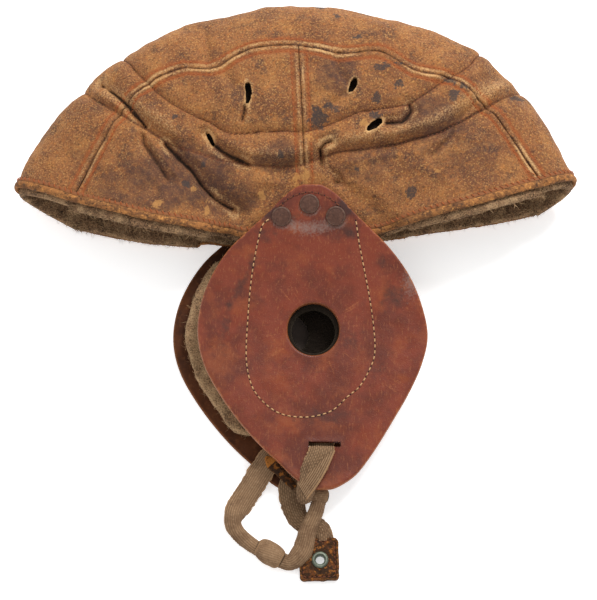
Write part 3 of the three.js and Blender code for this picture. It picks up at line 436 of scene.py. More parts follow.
def flap_clearance(y: np.ndarray) -> np.ndarray:
    """Give the room between a flap and the crown: tight at the rivets, wider over the binding."""
    return BINDING_ROOM + (RIVET_ROOM - BINDING_ROOM) * smooth_step(*ROOM_SPAN, y)


class Crown:
    """The crown's form: a closed head shape pressed flat, with s from brow 0 to nape 1.

    t is 1 at the left edge, 0 on the fold along the top and -1 at the right edge.
    """

    def plain(self, s: np.ndarray, t: np.ndarray) -> np.ndarray:
        """Give the outer face before any quilting or crease.

        Args:
            s: Places from brow to nape.
            t: Places from the right edge to the left edge.

        Returns:
            Rows of x, y, z.
        """
        s = np.asarray(s, float)
        t = np.asarray(t, float)
        left = t >= 0
        a = np.abs(t)
        end = 1 - smooth_step(0, END_REACH, np.minimum(s, 1 - s))
        share = np.linspace(0, 1, len(CROWN_SECTIONS))
        fold_x, fold_y, fold_z, seam_x, seam_y, left_z = (
            smooth_value(share, CROWN_SECTIONS[:, k], s) for k in range(6))
        seam_y = seam_y - np.where(left, 0, RIGHT_END_DROP * end)
        seam_z = np.where(left, left_z, RIGHT_SEAM_RISE + (RIGHT_END_RISE - RIGHT_SEAM_RISE) * end)
        turn = np.minimum(a / BAND_SHARE, 1) * BAND_TURN
        power = 2 / SQUARENESS
        inward = (1 - np.cos(turn) ** power) / (1 - math.cos(BAND_TURN) ** power)
        up = np.sin(turn) ** power / math.sin(BAND_TURN) ** power
        band = (fold_x + (seam_x - fold_x) * inward, fold_y + (seam_y - fold_y) * inward,
                fold_z + (seam_z - fold_z) * up)
        w = np.clip((a - BAND_SHARE) / (1 - BAND_SHARE), 0, 1)
        rim_x = RIM[0, 0] + (RIM[-1, 0] - RIM[0, 0]) * s
        rim_x = rim_x + np.where(left, 0, RIGHT_SHIFT_X * np.sin(np.pi * s))
        left_rim, right_rim = (
            [smooth_value(RIM[:, 0], RIM[:, k + j], rim_x) for j in range(2)] for k in (1, 3))
        rim_y = np.where(left, left_rim[0], right_rim[0])
        rim_z = np.where(left, left_rim[1], right_rim[1])
        length = np.hypot(seam_x - rim_x, seam_y - rim_y)
        x = seam_x + (rim_x - seam_x) * w
        y = seam_y + (rim_y - seam_y) * w
        left_bed = left_flap_under(y) - flap_clearance(y) + BED_SLOPE * outside_flap(x, y) ** 2
        high = seam_z + BULGE * length * w * (1 - w) ** 2 + (rim_z - seam_z) * w ** RIM_FALL
        high = soft_min(high, left_bed, 1.0)
        px = x - RIGHT_SHIFT_X
        py = y - RIGHT_SHIFT_Y
        right_bed = right_flap_under(py) + FLAP_LEATHER + flap_clearance(py)
        right_bed = right_bed - BED_SLOPE * outside_flap(px, py) ** 2
        low = seam_z * (1 - smooth_step(0, 0.15, w) * (1 - end))
        low = low + (rim_z - seam_z * end) * smooth_step(0.72, 1, w)
        low = np.maximum(0, -soft_min(-low, -right_bed, 0.4))
        on_band = a <= BAND_SHARE
        z = np.where(on_band, band[2], np.where(left, high, low))
        return np.stack([np.where(on_band, band[0], x), np.where(on_band, band[1], y), z], -1)

    def normal(self, s: np.ndarray, t: np.ndarray) -> np.ndarray:
        """Give the direction straight out of the crown, taken a little inside its corners."""
        s = np.clip(s, 0.03, 0.97)
        t = np.clip(t, -0.99, 0.99)
        step = 0.004
        along_s = self.plain(s + step, t) - self.plain(s - step, t)
        along_t = self.plain(s, t + step) - self.plain(s, t - step)
        out = np.cross(along_t, along_s)
        return out / np.linalg.norm(out, axis=-1, keepdims=True)

    def edge_outward(self, s: np.ndarray, t: np.ndarray) -> np.ndarray:
        """Give the direction out of the crown's opening, level with its face."""
        step = 0.01
        on_side = (np.abs(t) > BAND_SHARE + 0.001)[:, None]
        along_s = self.plain(np.minimum(s + step, 1), t) - self.plain(np.maximum(s - step, 0), t)
        along_t = self.plain(s, t + step) - self.plain(s, t - step)
        run = np.where(on_side, along_s, along_t)
        out = np.cross(run, self.normal(s, t))
        out = out / np.linalg.norm(out, axis=-1, keepdims=True)
        inward = np.where(on_side[:, 0], out[:, 1] > 0, np.where(s < 0.5, out[:, 0] > 0, out[:, 0] < 0))
        return np.where(inward[:, None], -out, out)

    def relief(self, s: np.ndarray, t: np.ndarray) -> dict:
        """Work out the quilting, seams, creases, wear and painted shade at places on the crown.

        Args:
            s: Places from brow to nape.
            t: Places from the right edge to the left edge.

        Returns:
            The places and normals, the broad and the sharp relief, and the marks of wear and painted shade.
        """
        place = self.plain(s, t)
        x, y = place[:, 0], place[:, 1]
        left = smooth_step(-0.3, 0.0, t)
        held = np.where(t >= 0, smooth_step(0, 6, outside_flap(x, y)), 0.3 + 0.7 * left)
        lower, _, lower_y, _ = path_distance(x, y, LOWER_RING)
        upper, _, _, _ = path_distance(x, y, UPPER_RING)
        lower_depth = smooth_value(LOWER_RING_DEPTH[:, 0], LOWER_RING_DEPTH[:, 1], x)
        wander = 1 + 0.25 * noise(place, 14, 3)
        broad = np.maximum(lower_depth * bell(lower, RING_REACH),
                           UPPER_RING_DEPTH * bell(upper, UPPER_RING_REACH))
        sharp = 0.55 * bell(lower, 0.8) * lower_depth / 2.6 * wander + 0.8 * bell(upper, 0.6) * wander
        # The cavity mark is painted shade: dark in the quilting grooves, the creases and along the seam
        # lines.
        cavity = bell(lower, 0.9) * (0.35 + 0.25 * (lower_depth - 1.5)) + 0.75 * bell(upper, 0.55)
        above_lower = np.clip(y - lower_y, 0, None)
        pressed = np.zeros(len(place))
        puff = PUFF_HEIGHT * smooth_step(0.04, 0.24, t) * bell(above_lower - PUFF_AWAY, PUFF_REACH)
        puff = puff * smooth_step(1.4, 3.0, lower_depth) * (lower < PUFF_LIMIT)
        for crease in CREASES:
            distance, _, _, _ = path_distance(x, y, np.array(crease.path))
            distance = distance + 0.5 * noise(place, 5, 8)
            broad = np.maximum(broad, left * DIP_GAIN * crease.depth * bell(distance, crease.reach))
            sharp = np.maximum(sharp, left * LINE_GAIN * crease.sharp * bell(distance, 0.9))
            cavity = np.maximum(cavity, left * min(1.0, crease.sharp * 0.9) * bell(distance, 0.75))
            pressed = np.maximum(pressed, left * min(1.0, crease.sharp * 0.6) * bell(distance - 2.4, 1.5))
        seam_t = np.where(t >= 0, BAND_SHARE, -BAND_SHARE)
        seam_place = self.plain(s, seam_t)
        seam = np.linalg.norm(place - seam_place, axis=1)
        mid = np.where(np.abs(t) > BAND_SHARE, np.abs(x - self.plain(np.full_like(s, 0.5), t)[:, 0]), 99)
        ridge = np.zeros(len(place))
        dye = np.zeros(len(place))
        for line, strength in ((seam, 1.0), (mid, 0.8)):
            line = line + 0.15 * noise(place, 3, 5)
            broad = np.maximum(broad, 0.5 * strength * bell(line, 4.2))
            sharp = sharp + strength * (0.3 * bell(line, 0.35) - 0.5 * bell(line - 1.5, 0.9))
            sharp = sharp + strength * 0.4 * bell(line - STITCH_AWAY, 0.8)
            strong = 0.3 + 0.7 * smooth_step(-0.3, 0.4, noise(place, 20, 23))
            strong = np.maximum(strong, bell(y - 66, 14))
            ridge = np.maximum(ridge, strength * strong * bell(line - RIDGE_AWAY, 0.95))
            cavity = np.maximum(cavity, 0.7 * strength * bell(line, 0.3))
            dye = np.maximum(dye, strength * bell(line - STITCH_AWAY, 1.6))
        ring_dye = 0.5 * np.maximum(bell(lower, 2), bell(upper, 2))
        broad = broad * (0.35 + 0.65 * smooth_step(0.02, 0.2, np.abs(t)))
        calm = smooth_step(0, 0.06, 1 - np.abs(t)) * smooth_step(0, 0.02, np.minimum(s, 1 - s))
        wrinkle = rough(place, WRINKLES, 11)
        shape = (puff * left + wrinkle * (0.35 + 0.65 * left)) * calm
        wear = noise(place, 7, 21)
        convex = np.clip(puff / PUFF_HEIGHT, 0, 1) * left
        top = bell(np.abs(t) - 0.06, 0.16)
        rub = np.maximum(ridge * (0.75 + 0.3 * wear), 0.42 * convex + 0.3 * top)
        rub = np.maximum(rub, pressed * (0.5 + 0.4 * wear))
        stain = self.spots(place, STAINS, 31) * left
        bare = self.spots(place, BARE_PATCHES, 37) * left
        # Darker patches, partly soil and partly painted shade low on the left side towards the rim.
        soil = np.full(len(place), 0.12)
        for middle_x, middle_y, wide, tall, strength in SOILED_AND_SHADED:
            away = np.hypot((x - middle_x) / wide, (y - middle_y) / tall) + 0.2 * noise(place, 8, 39)
            soil = np.maximum(soil, strength * (1 - smooth_step(0.5, 1.2, away)) * left)
        return {
            "place": place, "normal": self.normal(s, t), "broad": -broad * held + shape * held,
            "sharp": -sharp * held, "rub": np.clip(rub, 0, 1) * (0.2 + 0.8 * held),
            "cavity": np.clip(cavity, 0, 1) * (0.3 + 0.7 * held), "dye": np.maximum(dye, ring_dye),
            "stain": stain, "bare": bare, "soil": soil,
        }

    @staticmethod
    def spots(place: np.ndarray, table: Sequence[tuple], seed: int) -> np.ndarray:
        """Mark ragged spots.

        Args:
            place: Rows of x, y, z.
            table: Rows of x, y, half width, half height.
            seed: Which ragged edge.

        Returns:
            1 inside a spot and 0 outside it.
        """
        edge = 0.7 * noise(place, 2.2, seed) + 0.4 * noise(place, 0.9, seed + 1)
        mark = np.zeros(len(place))
        for x, y, wide, tall in table:
            distance = np.hypot((place[:, 0] - x) / wide, (place[:, 1] - y) / tall)
            mark = np.maximum(mark, 1 - smooth_step(0.8, 1.15, distance + edge))
        return mark

    def surface(self, s: np.ndarray, t: np.ndarray, deeper: float = 0.0) -> np.ndarray:
        """Give the finished outer face, or a face that much deeper."""
        relief = self.relief(s, t)
        return relief["place"] + relief["normal"] * (relief["broad"] + relief["sharp"] - deeper)[:, None]


class Slot(Enum):
    """The record's material slots."""

    CROWN = "crown_leather"
    BINDING = "binding_leather"
    FELT = "felt"
    FLAP = "flap_leather"
    RIVET = "rivet_metal"
    WEBBING = "webbing"
    TAB = "tab_leather"
    EYELET = "eyelet_brass"


@dataclass
class Solid:
    """Vertices and faces in millimetres, with marks of wear and painted shade at each vertex."""

    points: np.ndarray
    faces: list
    marks: dict = field(default_factory=dict)

    def joined(self, other: "Solid") -> "Solid":
        """Put another solid beside this one in the same mesh."""
        offset = len(self.points)
        faces = self.faces + [tuple(v + offset for v in face) for face in other.faces]
        marks = {}
        for name in set(self.marks) | set(other.marks):
            mine = self.marks.get(name, np.zeros(len(self.points)))
            theirs = other.marks.get(name, np.zeros(len(other.points)))
            marks[name] = np.concatenate([mine, theirs])
        return Solid(np.vstack([self.points, other.points]), faces, marks)

    def volume(self) -> float:
        """Give the enclosed volume, negative where the faces point in."""
        total = 0.0
        p = self.points
        for sides in (3, 4):
            chosen = np.array([f for f in self.faces if len(f) == sides])
            if len(chosen) == 0:
                continue
            for k in range(1, sides - 1):
                cross = np.cross(p[chosen[:, k]], p[chosen[:, k + 1]])
                total += float(np.einsum("ij,ij->", p[chosen[:, 0]], cross)) / 6
        return total

    def facing_out(self) -> "Solid":
        """Turn the faces round where they point in, and give the solid back."""
        if self.volume() < 0:
            self.faces = [face[::-1] for face in self.faces]
        return self


def wound(rows: np.ndarray) -> list:
    """Give the faces between rows of vertices that each run round a ring."""
    following = np.roll(rows, -1, axis=1)
    quads = np.stack([rows[:-1], rows[1:], following[1:], following[:-1]], -1)
    return [tuple(face) for face in quads.reshape(-1, 4).tolist()]


def shell(outer: np.ndarray, inner: np.ndarray, keep: Optional[np.ndarray] = None,
          marks: Optional[dict] = None, ring: bool = False) -> Solid:
    """Close the space between two grids of points that share their layout.

    Args:
        outer: The outer grid, rows by columns by 3.
        inner: The inner grid.
        keep: Which cells stay; the rest are holes.
        marks: Marks of wear and painted shade for both grids, rows by columns or what broadcasts to that.
        ring: Whether the last row joins the first.

    Returns:
        A closed solid with walls along every border.
    """
    rows, columns = outer.shape[:2]
    count = rows * columns
    index = np.arange(count).reshape(rows, columns)
    if ring:
        index = np.vstack([index, index[:1]])
    cells = np.stack([index[:-1, :-1], index[1:, :-1], index[1:, 1:], index[:-1, 1:]], -1)
    top = cells.reshape(-1, 4) if keep is None else cells[keep]
    starts = top.ravel()
    ends = np.roll(top, -1, axis=1).ravel()
    border = ~np.isin(starts * count + ends, ends * count + starts)
    a, b = starts[border], ends[border]
    walls = np.stack([b, a, a + count, b + count], -1)
    faces = np.vstack([top, top[:, ::-1] + count, walls])
    used, packed = np.unique(faces, return_inverse=True)
    points = np.vstack([outer.reshape(-1, 3), inner.reshape(-1, 3)])[used]
    kept = {name: np.tile(np.broadcast_to(value, (rows, columns)).ravel(), 2)[used]
            for name, value in (marks or {}).items()}
    return Solid(points, [tuple(face) for face in packed.reshape(-1, 4).tolist()], kept).facing_out()


def loft(rings: np.ndarray, marks: Optional[dict] = None) -> Solid:
    """Close a tube through rings of points, with flat ends.

    Args:
        rings: Stations by sides by 3.
        marks: Marks of wear and painted shade, stations by sides.

    Returns:
        A closed solid.
    """
    stations, sides = rings.shape[:2]
    index = np.arange(stations * sides).reshape(stations, sides)
    faces = wound(index)
    first, last = index[0].tolist(), index[-1].tolist()
    faces += [(first[0], first[k], first[k + 1]) for k in range(1, sides - 1)]
    faces += [(last[0], last[k + 1], last[k]) for k in range(1, sides - 1)]
    kept = {name: value.ravel() for name, value in (marks or {}).items()}
    return Solid(rings.reshape(-1, 3), faces, kept).facing_out()


def turned(profile: Sequence[tuple], sides: int) -> Solid:
    """Turn a profile of (radius, height) that starts and ends on the axis or closes on itself.

    Args:
        profile: The profile's points.
        sides: How many steps round.

    Returns:
        A closed solid about the Z axis.
    """
    profile = np.array(profile, float)
    angle = round_angles(sides)
    closed = np.allclose(profile[0], profile[-1])
    if closed:
        profile = profile[:-1]
    places = np.stack([np.outer(profile[:, 0], np.cos(angle)), np.outer(profile[:, 0], np.sin(angle)),
                       np.repeat(profile[:, 1:2], sides, axis=1)], -1)
    index = np.arange(len(profile) * sides).reshape(len(profile), sides)
    rows = np.vstack([index, index[:1]]) if closed else index
    return Solid(places.reshape(-1, 3), wound(rows)).facing_out()


def linear(hex_colour: str) -> tuple:
    """Turn an sRGB hex colour into a linear one with full alpha."""
    parts = [int(hex_colour.lstrip("#")[k:k + 2], 16) / 255 for k in (0, 2, 4)]
    return tuple(c / 12.92 if c <= 0.04045 else ((c + 0.055) / 1.055) ** 2.4 for c in parts) + (1.0,)


def add_node(tree: bpy.types.NodeTree, kind: str, inputs: Optional[dict] = None,
             **settings: object) -> bpy.types.Node:
    """Add a node with its settings and links.

    Args:
        tree: The node tree.
        kind: The node's type.
        inputs: Values or other nodes' outputs by socket name or number.
        settings: The node's own settings.

    Returns:
        The node.
    """
    node = tree.nodes.new(kind)
    for name, value in settings.items():
        setattr(node, name, value)
    for key, value in (inputs or {}).items():
        socket = node.inputs[key]
        if isinstance(value, bpy.types.NodeSocket):
            tree.links.new(value, socket)
        else:
            socket.default_value = value
    return node


@dataclass(frozen=True)
class Layer:
    """A colour laid over the ones before it, where its pattern or its mark is strong; the marks hold wear,
    painted shade and a painted reflection.

    Attributes:
        colour: Its sRGB hex colour.
        grain: The size of its pattern in millimetres.
        low: The pattern's value where the colour starts to show.
        high: The pattern's value where it shows fully.
        mark: The mark of wear, painted shade or painted reflection that it follows, if it follows one.
        ragged: How much the pattern breaks the mark's edge up.
        amount: How strong the colour is at most.
        stretch: How the pattern is squeezed along each axis.
    """

    colour: str
    grain: float
    low: float
    high: float
    mark: str = ""
    ragged: float = 0.6
    amount: float = 1.0
    stretch: tuple = (1.0, 1.0, 1.0)


@dataclass(frozen=True)
class Grain:
    """A pattern that raises the surface.

    Attributes:
        size: The pattern's size in millimetres.
        height: Its height in millimetres.
        stretch: How it is squeezed along each axis.
        cells: Whether it has the cells of cracked leather instead of smooth noise.
    """

    size: float
    height: float
    stretch: tuple = (1.0, 1.0, 1.0)
    cells: bool = False


@dataclass(frozen=True)
class Finish:
    """A real surface: its colours, gloss and grain.

    Attributes:
        name: The real material's name.
        base: The colour under all layers.
        layers: Colours laid over it, in order.
        grains: Patterns that raise it.
        roughness: Its middle roughness.
        spread: How far the roughness varies.
        patch: The size of rough and smooth patches in millimetres.
        metallic: 1 for bare metal.
        sheen: How much soft fibre sheen it has.
        specular: The strength of its reflections; 0.5 is the plain value for leather and cloth.
        glow: How much white light comes through it.
    """

    name: str
    base: str
    layers: tuple = ()
    grains: tuple = ()
    roughness: float = 0.8
    spread: float = 0.1
    patch: float = 6.0
    metallic: float = 0.0
    sheen: float = 0.0
    specular: float = 0.5
    glow: float = 0.0

    def made(self) -> bpy.types.Material:
        """Build the material.

        Returns:
            A node material that shows this finish.
        """
        material = bpy.data.materials.new(self.name)
        material.use_nodes = True
        tree = material.node_tree
        tree.nodes.clear()
        place = add_node(tree, "ShaderNodeTexCoord").outputs["Object"]
        colour = add_node(tree, "ShaderNodeRGB")
        colour.outputs[0].default_value = linear(self.base)
        shown = colour.outputs[0]
        for number, layer in enumerate(self.layers):
            shown = self.laid(tree, place, shown, layer, number)
        patches = add_node(tree, "ShaderNodeTexNoise", {
            "Vector": place, "Scale": 1 / (self.patch * MM), "Detail": 3.0}).outputs["Fac"]
        roughness = add_node(tree, "ShaderNodeMapRange", {
            "Value": patches, "From Min": 0.3, "From Max": 0.7,
            "To Min": max(self.roughness - self.spread, 0.05),
            "To Max": min(self.roughness + self.spread, 1.0)}).outputs["Result"]
        shader = add_node(tree, "ShaderNodeBsdfPrincipled", {
            "Base Color": shown, "Roughness": roughness, "Metallic": self.metallic,
            "Sheen Weight": self.sheen, "Specular IOR Level": self.specular,
            "Emission Color": linear("#ffffff"), "Emission Strength": self.glow})
        if self.sheen:
            shader.inputs["Sheen Roughness"].default_value = 0.6
            shader.inputs["Sheen Tint"].default_value = linear("#d8c0a0")
        height = self.raised(tree, place)
        if height is not None:
            bump = add_node(tree, "ShaderNodeBump", {"Height": height, "Distance": MM, "Strength": 1.0})
            tree.links.new(bump.outputs["Normal"], shader.inputs["Normal"])
        output = add_node(tree, "ShaderNodeOutputMaterial")
        tree.links.new(shader.outputs[0], output.inputs["Surface"])
        return material

    def laid(self, tree: bpy.types.NodeTree, place: bpy.types.NodeSocket, under: bpy.types.NodeSocket,
             layer: Layer, number: int) -> bpy.types.NodeSocket:
        """Lay one colour over another.

        Args:
            tree: The material's nodes.
            place: The place on the object.
            under: The colour so far.
            layer: The layer to lay.
            number: The layer's number, so that no two patterns are alike.

        Returns:
            The mixed colour.
        """
        moved = add_node(tree, "ShaderNodeMapping", {
            "Vector": place, "Location": (0.013 * number, 0.007 * number, 0.0), "Scale": layer.stretch})
        value = add_node(tree, "ShaderNodeTexNoise", {
            "Vector": moved.outputs[0], "Scale": 1 / (layer.grain * MM), "Detail": 4.0,
            "Roughness": 0.62}).outputs["Fac"]
        if layer.mark:
            mark = add_node(tree, "ShaderNodeAttribute", attribute_name=layer.mark).outputs["Fac"]
            value = add_node(tree, "ShaderNodeMath", {
                0: value, 1: 2 * layer.ragged, 2: -layer.ragged}, operation="MULTIPLY_ADD").outputs[0]
            value = add_node(tree, "ShaderNodeMath", {0: value, 1: mark}, operation="ADD").outputs[0]
            present = add_node(tree, "ShaderNodeMapRange", {
                "Value": mark, "From Min": 0.0, "From Max": 0.12}).outputs["Result"]
        strength = add_node(tree, "ShaderNodeMapRange", {
            "Value": value, "From Min": layer.low, "From Max": layer.high,
            "To Max": layer.amount}).outputs["Result"]
        if layer.mark:
            strength = add_node(tree, "ShaderNodeMath", {
                0: strength, 1: present}, operation="MULTIPLY").outputs[0]
        mixed = add_node(tree, "ShaderNodeMix", {0: strength, 6: under, 7: linear(layer.colour)},
                         data_type="RGBA")
        return mixed.outputs[2]

    def raised(self, tree: bpy.types.NodeTree,
               place: bpy.types.NodeSocket) -> Optional[bpy.types.NodeSocket]:
        """Add the heights of all patterns, in millimetres.

        Args:
            tree: The material's nodes.
            place: The place on the object.

        Returns:
            The summed height, or nothing where there is no pattern.
        """
        total = None
        for grain in self.grains:
            moved = add_node(tree, "ShaderNodeMapping", {"Vector": place, "Scale": grain.stretch})
            kind = "ShaderNodeTexVoronoi" if grain.cells else "ShaderNodeTexNoise"
            texture = add_node(tree, kind, {"Vector": moved.outputs[0], "Scale": 1 / (grain.size * MM)})
            if not grain.cells:
                texture.inputs["Detail"].default_value = 3.0
            value = texture.outputs["Distance" if grain.cells else "Fac"]
            added = add_node(tree, "ShaderNodeMath", {0: value, 1: grain.height, 2: 0.0},
                             operation="MULTIPLY_ADD")
            if total is not None:
                tree.links.new(total, added.inputs[2])
            total = added.outputs[0]
        return total


# Suede split leather, brushed and long worn: matt, mottled, pale where it rubs, with painted shade in folds.
SUEDE = Finish(
    name="worn_suede_split_leather", base="#865634", roughness=0.85, spread=0.08, specular=0.25,
    layers=(
        Layer("#65402c", 26, 0.45, 0.6, amount=0.8),
        Layer("#9f6c3d", 13, 0.5, 0.64, amount=0.6),
        Layer("#54392c", 9, 0.55, 0.66, amount=0.75),
        Layer("#a8672f", 1.7, 0.52, 0.66, amount=0.5),
        Layer("#bf8f54", 0.8, 0.53, 0.65, amount=0.7),
        Layer("#38251a", 1.0, 0.52, 0.64, amount=0.6),
        # Darker patches: soil, and painted shade low on the left side towards the rim.
        Layer("#46302a", 3.5, 0.3, 1.1, mark="soil", ragged=0.7, amount=0.85),
        Layer("#8f4a22", 2.0, 0.35, 0.9, mark="dye", ragged=0.5, amount=0.6),
        Layer("#c99f6c", 0.8, 0.3, 0.85, mark="rub", ragged=0.85, amount=0.9),
        # Painted shade in folds, grooves and seam lines.
        Layer("#1e120a", 1.2, 0.25, 0.9, mark="cavity", ragged=0.3, amount=0.95),
        Layer("#3b3432", 0.8, 0.45, 0.95, mark="stain", ragged=1.0, amount=0.85),
        Layer("#b5834a", 0.8, 0.45, 0.95, mark="bare", ragged=1.0, amount=0.65),
    ),
    grains=(Grain(3.0, 0.16), Grain(0.9, 0.16), Grain(0.45, 0.08)),
)
# The binding is the same split leather, rubbed through to its orange core.
BINDING = Finish(
    name="rubbed_orange_split_leather", base="#9a6538", roughness=0.88, spread=0.08, specular=0.25,
    layers=(
        Layer("#6f4a2c", 9, 0.44, 0.6, amount=0.85),
        Layer("#b98248", 2.2, 0.52, 0.66, amount=0.75),
        Layer("#5c3d28", 5, 0.5, 0.6, amount=0.8, stretch=(1.0, 1.6, 1.0)),
        Layer("#d29450", 1.6, 0.56, 0.68, amount=0.7),
        Layer("#3f2a1e", 1.5, 0.55, 0.64, amount=0.85),
        Layer("#37302c", 3.5, 0.62, 0.7, amount=0.8),
        Layer("#d9a05a", 0.9, 0.4, 0.9, mark="rub", ragged=0.7, amount=0.8),
        Layer("#845334", 1.5, 0.3, 0.8, mark="seam", ragged=0.4, amount=0.95),
        # Painted shade along the binding's fold groove.
        Layer("#2c1a10", 1.0, 0.3, 1.0, mark="cavity", ragged=0.3, amount=0.9),
    ),
    grains=(Grain(1.4, 0.25), Grain(0.6, 0.12)),
)
# Matted wool felt: no gloss at all, with pale loose fibres over a dark ground.
WOOL_FELT = Finish(
    name="matted_wool_felt", base="#7c5f47", roughness=1.0, spread=0.0, specular=0.1, sheen=0.1,
    layers=(
        Layer("#4c382a", 5, 0.46, 0.6, amount=0.85),
        Layer("#ab8560", 1.6, 0.5, 0.62, amount=0.8, stretch=(1.0, 2.6, 1.0)),
        Layer("#2d211a", 1.1, 0.52, 0.6, amount=0.9, stretch=(2.4, 1.0, 1.0)),
        Layer("#c2a078", 0.6, 0.35, 0.9, mark="fibre", ragged=0.8, amount=0.85),
        # Painted shade under the vents and round the ear holes.
        Layer("#15100d", 2.0, 0.25, 0.8, mark="cavity", ragged=0.2, amount=0.98),
    ),
    grains=(Grain(2.2, 1.0), Grain(0.7, 0.6)),
)
# Vegetable-tanned harness leather, waxed: a soft shine over a reddish brown with darker blotches.
HARNESS = Finish(
    name="waxed_harness_leather", base="#74321f", roughness=0.45, spread=0.12, patch=9, specular=0.3,
    layers=(
        Layer("#572619", 26, 0.44, 0.6, amount=0.8),
        Layer("#8a4522", 17, 0.5, 0.64, amount=0.55),
        Layer("#45201a", 9, 0.55, 0.68, amount=0.3),
        Layer("#8f5533", 0.8, 0.56, 0.7, amount=0.6, stretch=(1.0, 0.2, 1.0)),
        Layer("#5a2c1e", 1.4, 0.6, 0.7, amount=0.4, stretch=(0.2, 1.0, 1.0)),
        Layer("#a06e46", 0.6, 0.63, 0.72, amount=0.7),
        Layer("#33231f", 5, 0.3, 0.8, mark="shade", ragged=0.6, amount=0.8),
        # Grey cracked finish and waxy film, and a painted grey reflection near the right edge.
        Layer("#85746b", 1.0, 0.35, 1.0, mark="crackle", ragged=0.6, amount=0.75),
        Layer("#9c5c34", 0.8, 0.4, 0.9, mark="rub", ragged=0.7, amount=0.8),
        # Painted shade round the ear hole and the strap slot.
        Layer("#1e0f0b", 1.0, 0.3, 1.0, mark="cavity", ragged=0.25, amount=0.92),
    ),
    grains=(Grain(5.0, 0.14), Grain(0.8, 0.08), Grain(0.5, 0.05, cells=True)),
)
# The flap on the table shows its browner flesh side.
FLESH_SIDE = Finish(
    name="harness_leather_flesh_side", base="#4e2a15", roughness=0.7, spread=0.1, patch=8, specular=0.12,
    layers=(
        Layer("#351c0f", 14, 0.45, 0.6, amount=0.8),
        Layer("#613a20", 3, 0.54, 0.68, amount=0.6),
        Layer("#7a4a28", 1.0, 0.4, 0.9, mark="rub", ragged=0.6, amount=0.7),
        # Painted shade round the ear hole and the strap slot.
        Layer("#170d08", 1.0, 0.3, 1.0, mark="cavity", ragged=0.25, amount=0.92),
    ),
    grains=(Grain(2.5, 0.16), Grain(0.7, 0.08)),
)
# Brass rivet heads under old brown lacquer: dull, with grey metal at the rim.
RIVET_BRASS = Finish(
    name="lacquered_brass_rivet", base="#4f3226", roughness=0.55, spread=0.12, patch=2, metallic=0.2,
    specular=0.35,
    layers=(
        Layer("#644436", 2.2, 0.48, 0.64, amount=0.7),
        Layer("#36241d", 1.1, 0.56, 0.68, amount=0.7),
        Layer("#6e6255", 1.2, 0.5, 0.95, mark="rub", ragged=0.8, amount=0.7),
        # Painted shade in the groove round the head.
        Layer("#1c130f", 0.8, 0.3, 1.0, mark="cavity", ragged=0.2, amount=0.9),
    ),
    grains=(Grain(1.6, 0.16), Grain(0.4, 0.05)),
)
# Elastic webbing woven of cotton and rubber: matt tan ribs, with painted shade in the gaps between them.
COTTON_WEBBING = Finish(
    name="ribbed_cotton_webbing", base="#8a6d52", roughness=0.97, spread=0.03, specular=0.15,
    layers=(
        Layer("#6c523d", 8, 0.45, 0.6, amount=0.75),
        Layer("#a4886a", 1.2, 0.52, 0.68, amount=0.6),
        Layer("#a9835d", 0.7, 0.35, 0.85, mark="rub", ragged=0.6, amount=0.6),
        # Dirt on the webbing, and painted shade at the knots' ends where the strap goes in.
        Layer("#5c452e", 5, 0.35, 0.85, mark="soil", ragged=0.3, amount=0.8),
        # Painted shade between the ribs and in the weave's low parts.
        Layer("#2c2015", 0.6, 0.2, 0.85, mark="cavity", ragged=0.15, amount=0.92),
    ),
    grains=(Grain(0.5, 0.12),),
)
# Old strap leather, cracked: a nearly black skin worn through to its tan core.
CRACKED_LEATHER = Finish(
    name="cracked_strap_leather", base="#35200f", roughness=0.62, spread=0.12, patch=2.5, specular=0.14,
    layers=(
        Layer("#643817", 3.6, 0.49, 0.6, amount=0.8),
        Layer("#985c22", 2.0, 0.55, 0.64, amount=0.85),
        Layer("#160e0a", 1.3, 0.55, 0.65, amount=0.8),
        Layer("#95602c", 1.0, 0.45, 0.95, mark="rub", ragged=0.8, amount=0.9),
        # Painted shade along the tab's sunk stitch line and its edge.
        Layer("#110a07", 0.9, 0.3, 1.0, mark="cavity", ragged=0.3, amount=0.9),
    ),
    grains=(Grain(1.8, 0.3), Grain(0.7, 0.16, cells=True)),
)
# A bare torn end of the same leather.
TORN_LEATHER = Finish(
    name="torn_leather_core", base="#a2652a", roughness=0.9, spread=0.1, specular=0.2,
    layers=(Layer("#69401c", 1.4, 0.5, 0.64, amount=0.8), Layer("#c28a46", 0.8, 0.55, 0.68, amount=0.7)),
    grains=(Grain(0.8, 0.4),),
)
# An unlacquered brass eyelet gone green-grey with verdigris.
VERDIGRIS_BRASS = Finish(
    name="verdigris_brass", base="#4e5648", roughness=0.45, spread=0.12, patch=1.5, metallic=0.5,
    layers=(
        Layer("#69735f", 1.5, 0.48, 0.62, amount=0.8),
        Layer("#33372c", 0.9, 0.54, 0.66, amount=0.8),
        Layer("#8a8b80", 0.8, 0.4, 0.9, mark="rub", ragged=0.5, amount=0.6),
    ),
    grains=(Grain(0.8, 0.08),),
)
# Waxed sewing threads.
ORANGE_THREAD = Finish(name="orange_sewing_thread", base="#a2521f", roughness=0.8,
                       layers=(Layer("#8a4a24", 3, 0.48, 0.6, amount=0.8),), sheen=0.1)
BROWN_THREAD = Finish(name="brown_sewing_thread", base="#6e3519", roughness=0.8,
                      layers=(Layer("#5a3220", 3, 0.48, 0.6, amount=0.8),), sheen=0.1)
CREAM_THREAD = Finish(name="cream_linen_thread", base="#bf9668", roughness=0.75,
                      layers=(Layer("#8a6640", 2.5, 0.5, 0.62, amount=0.7),), sheen=0.1)
# Dark dots that stand in for awl holes: painted shade in the holes.
AWL_HOLE_SHADE = Finish(name="painted_awl_hole_shade", base="#1c1210", roughness=0.9)
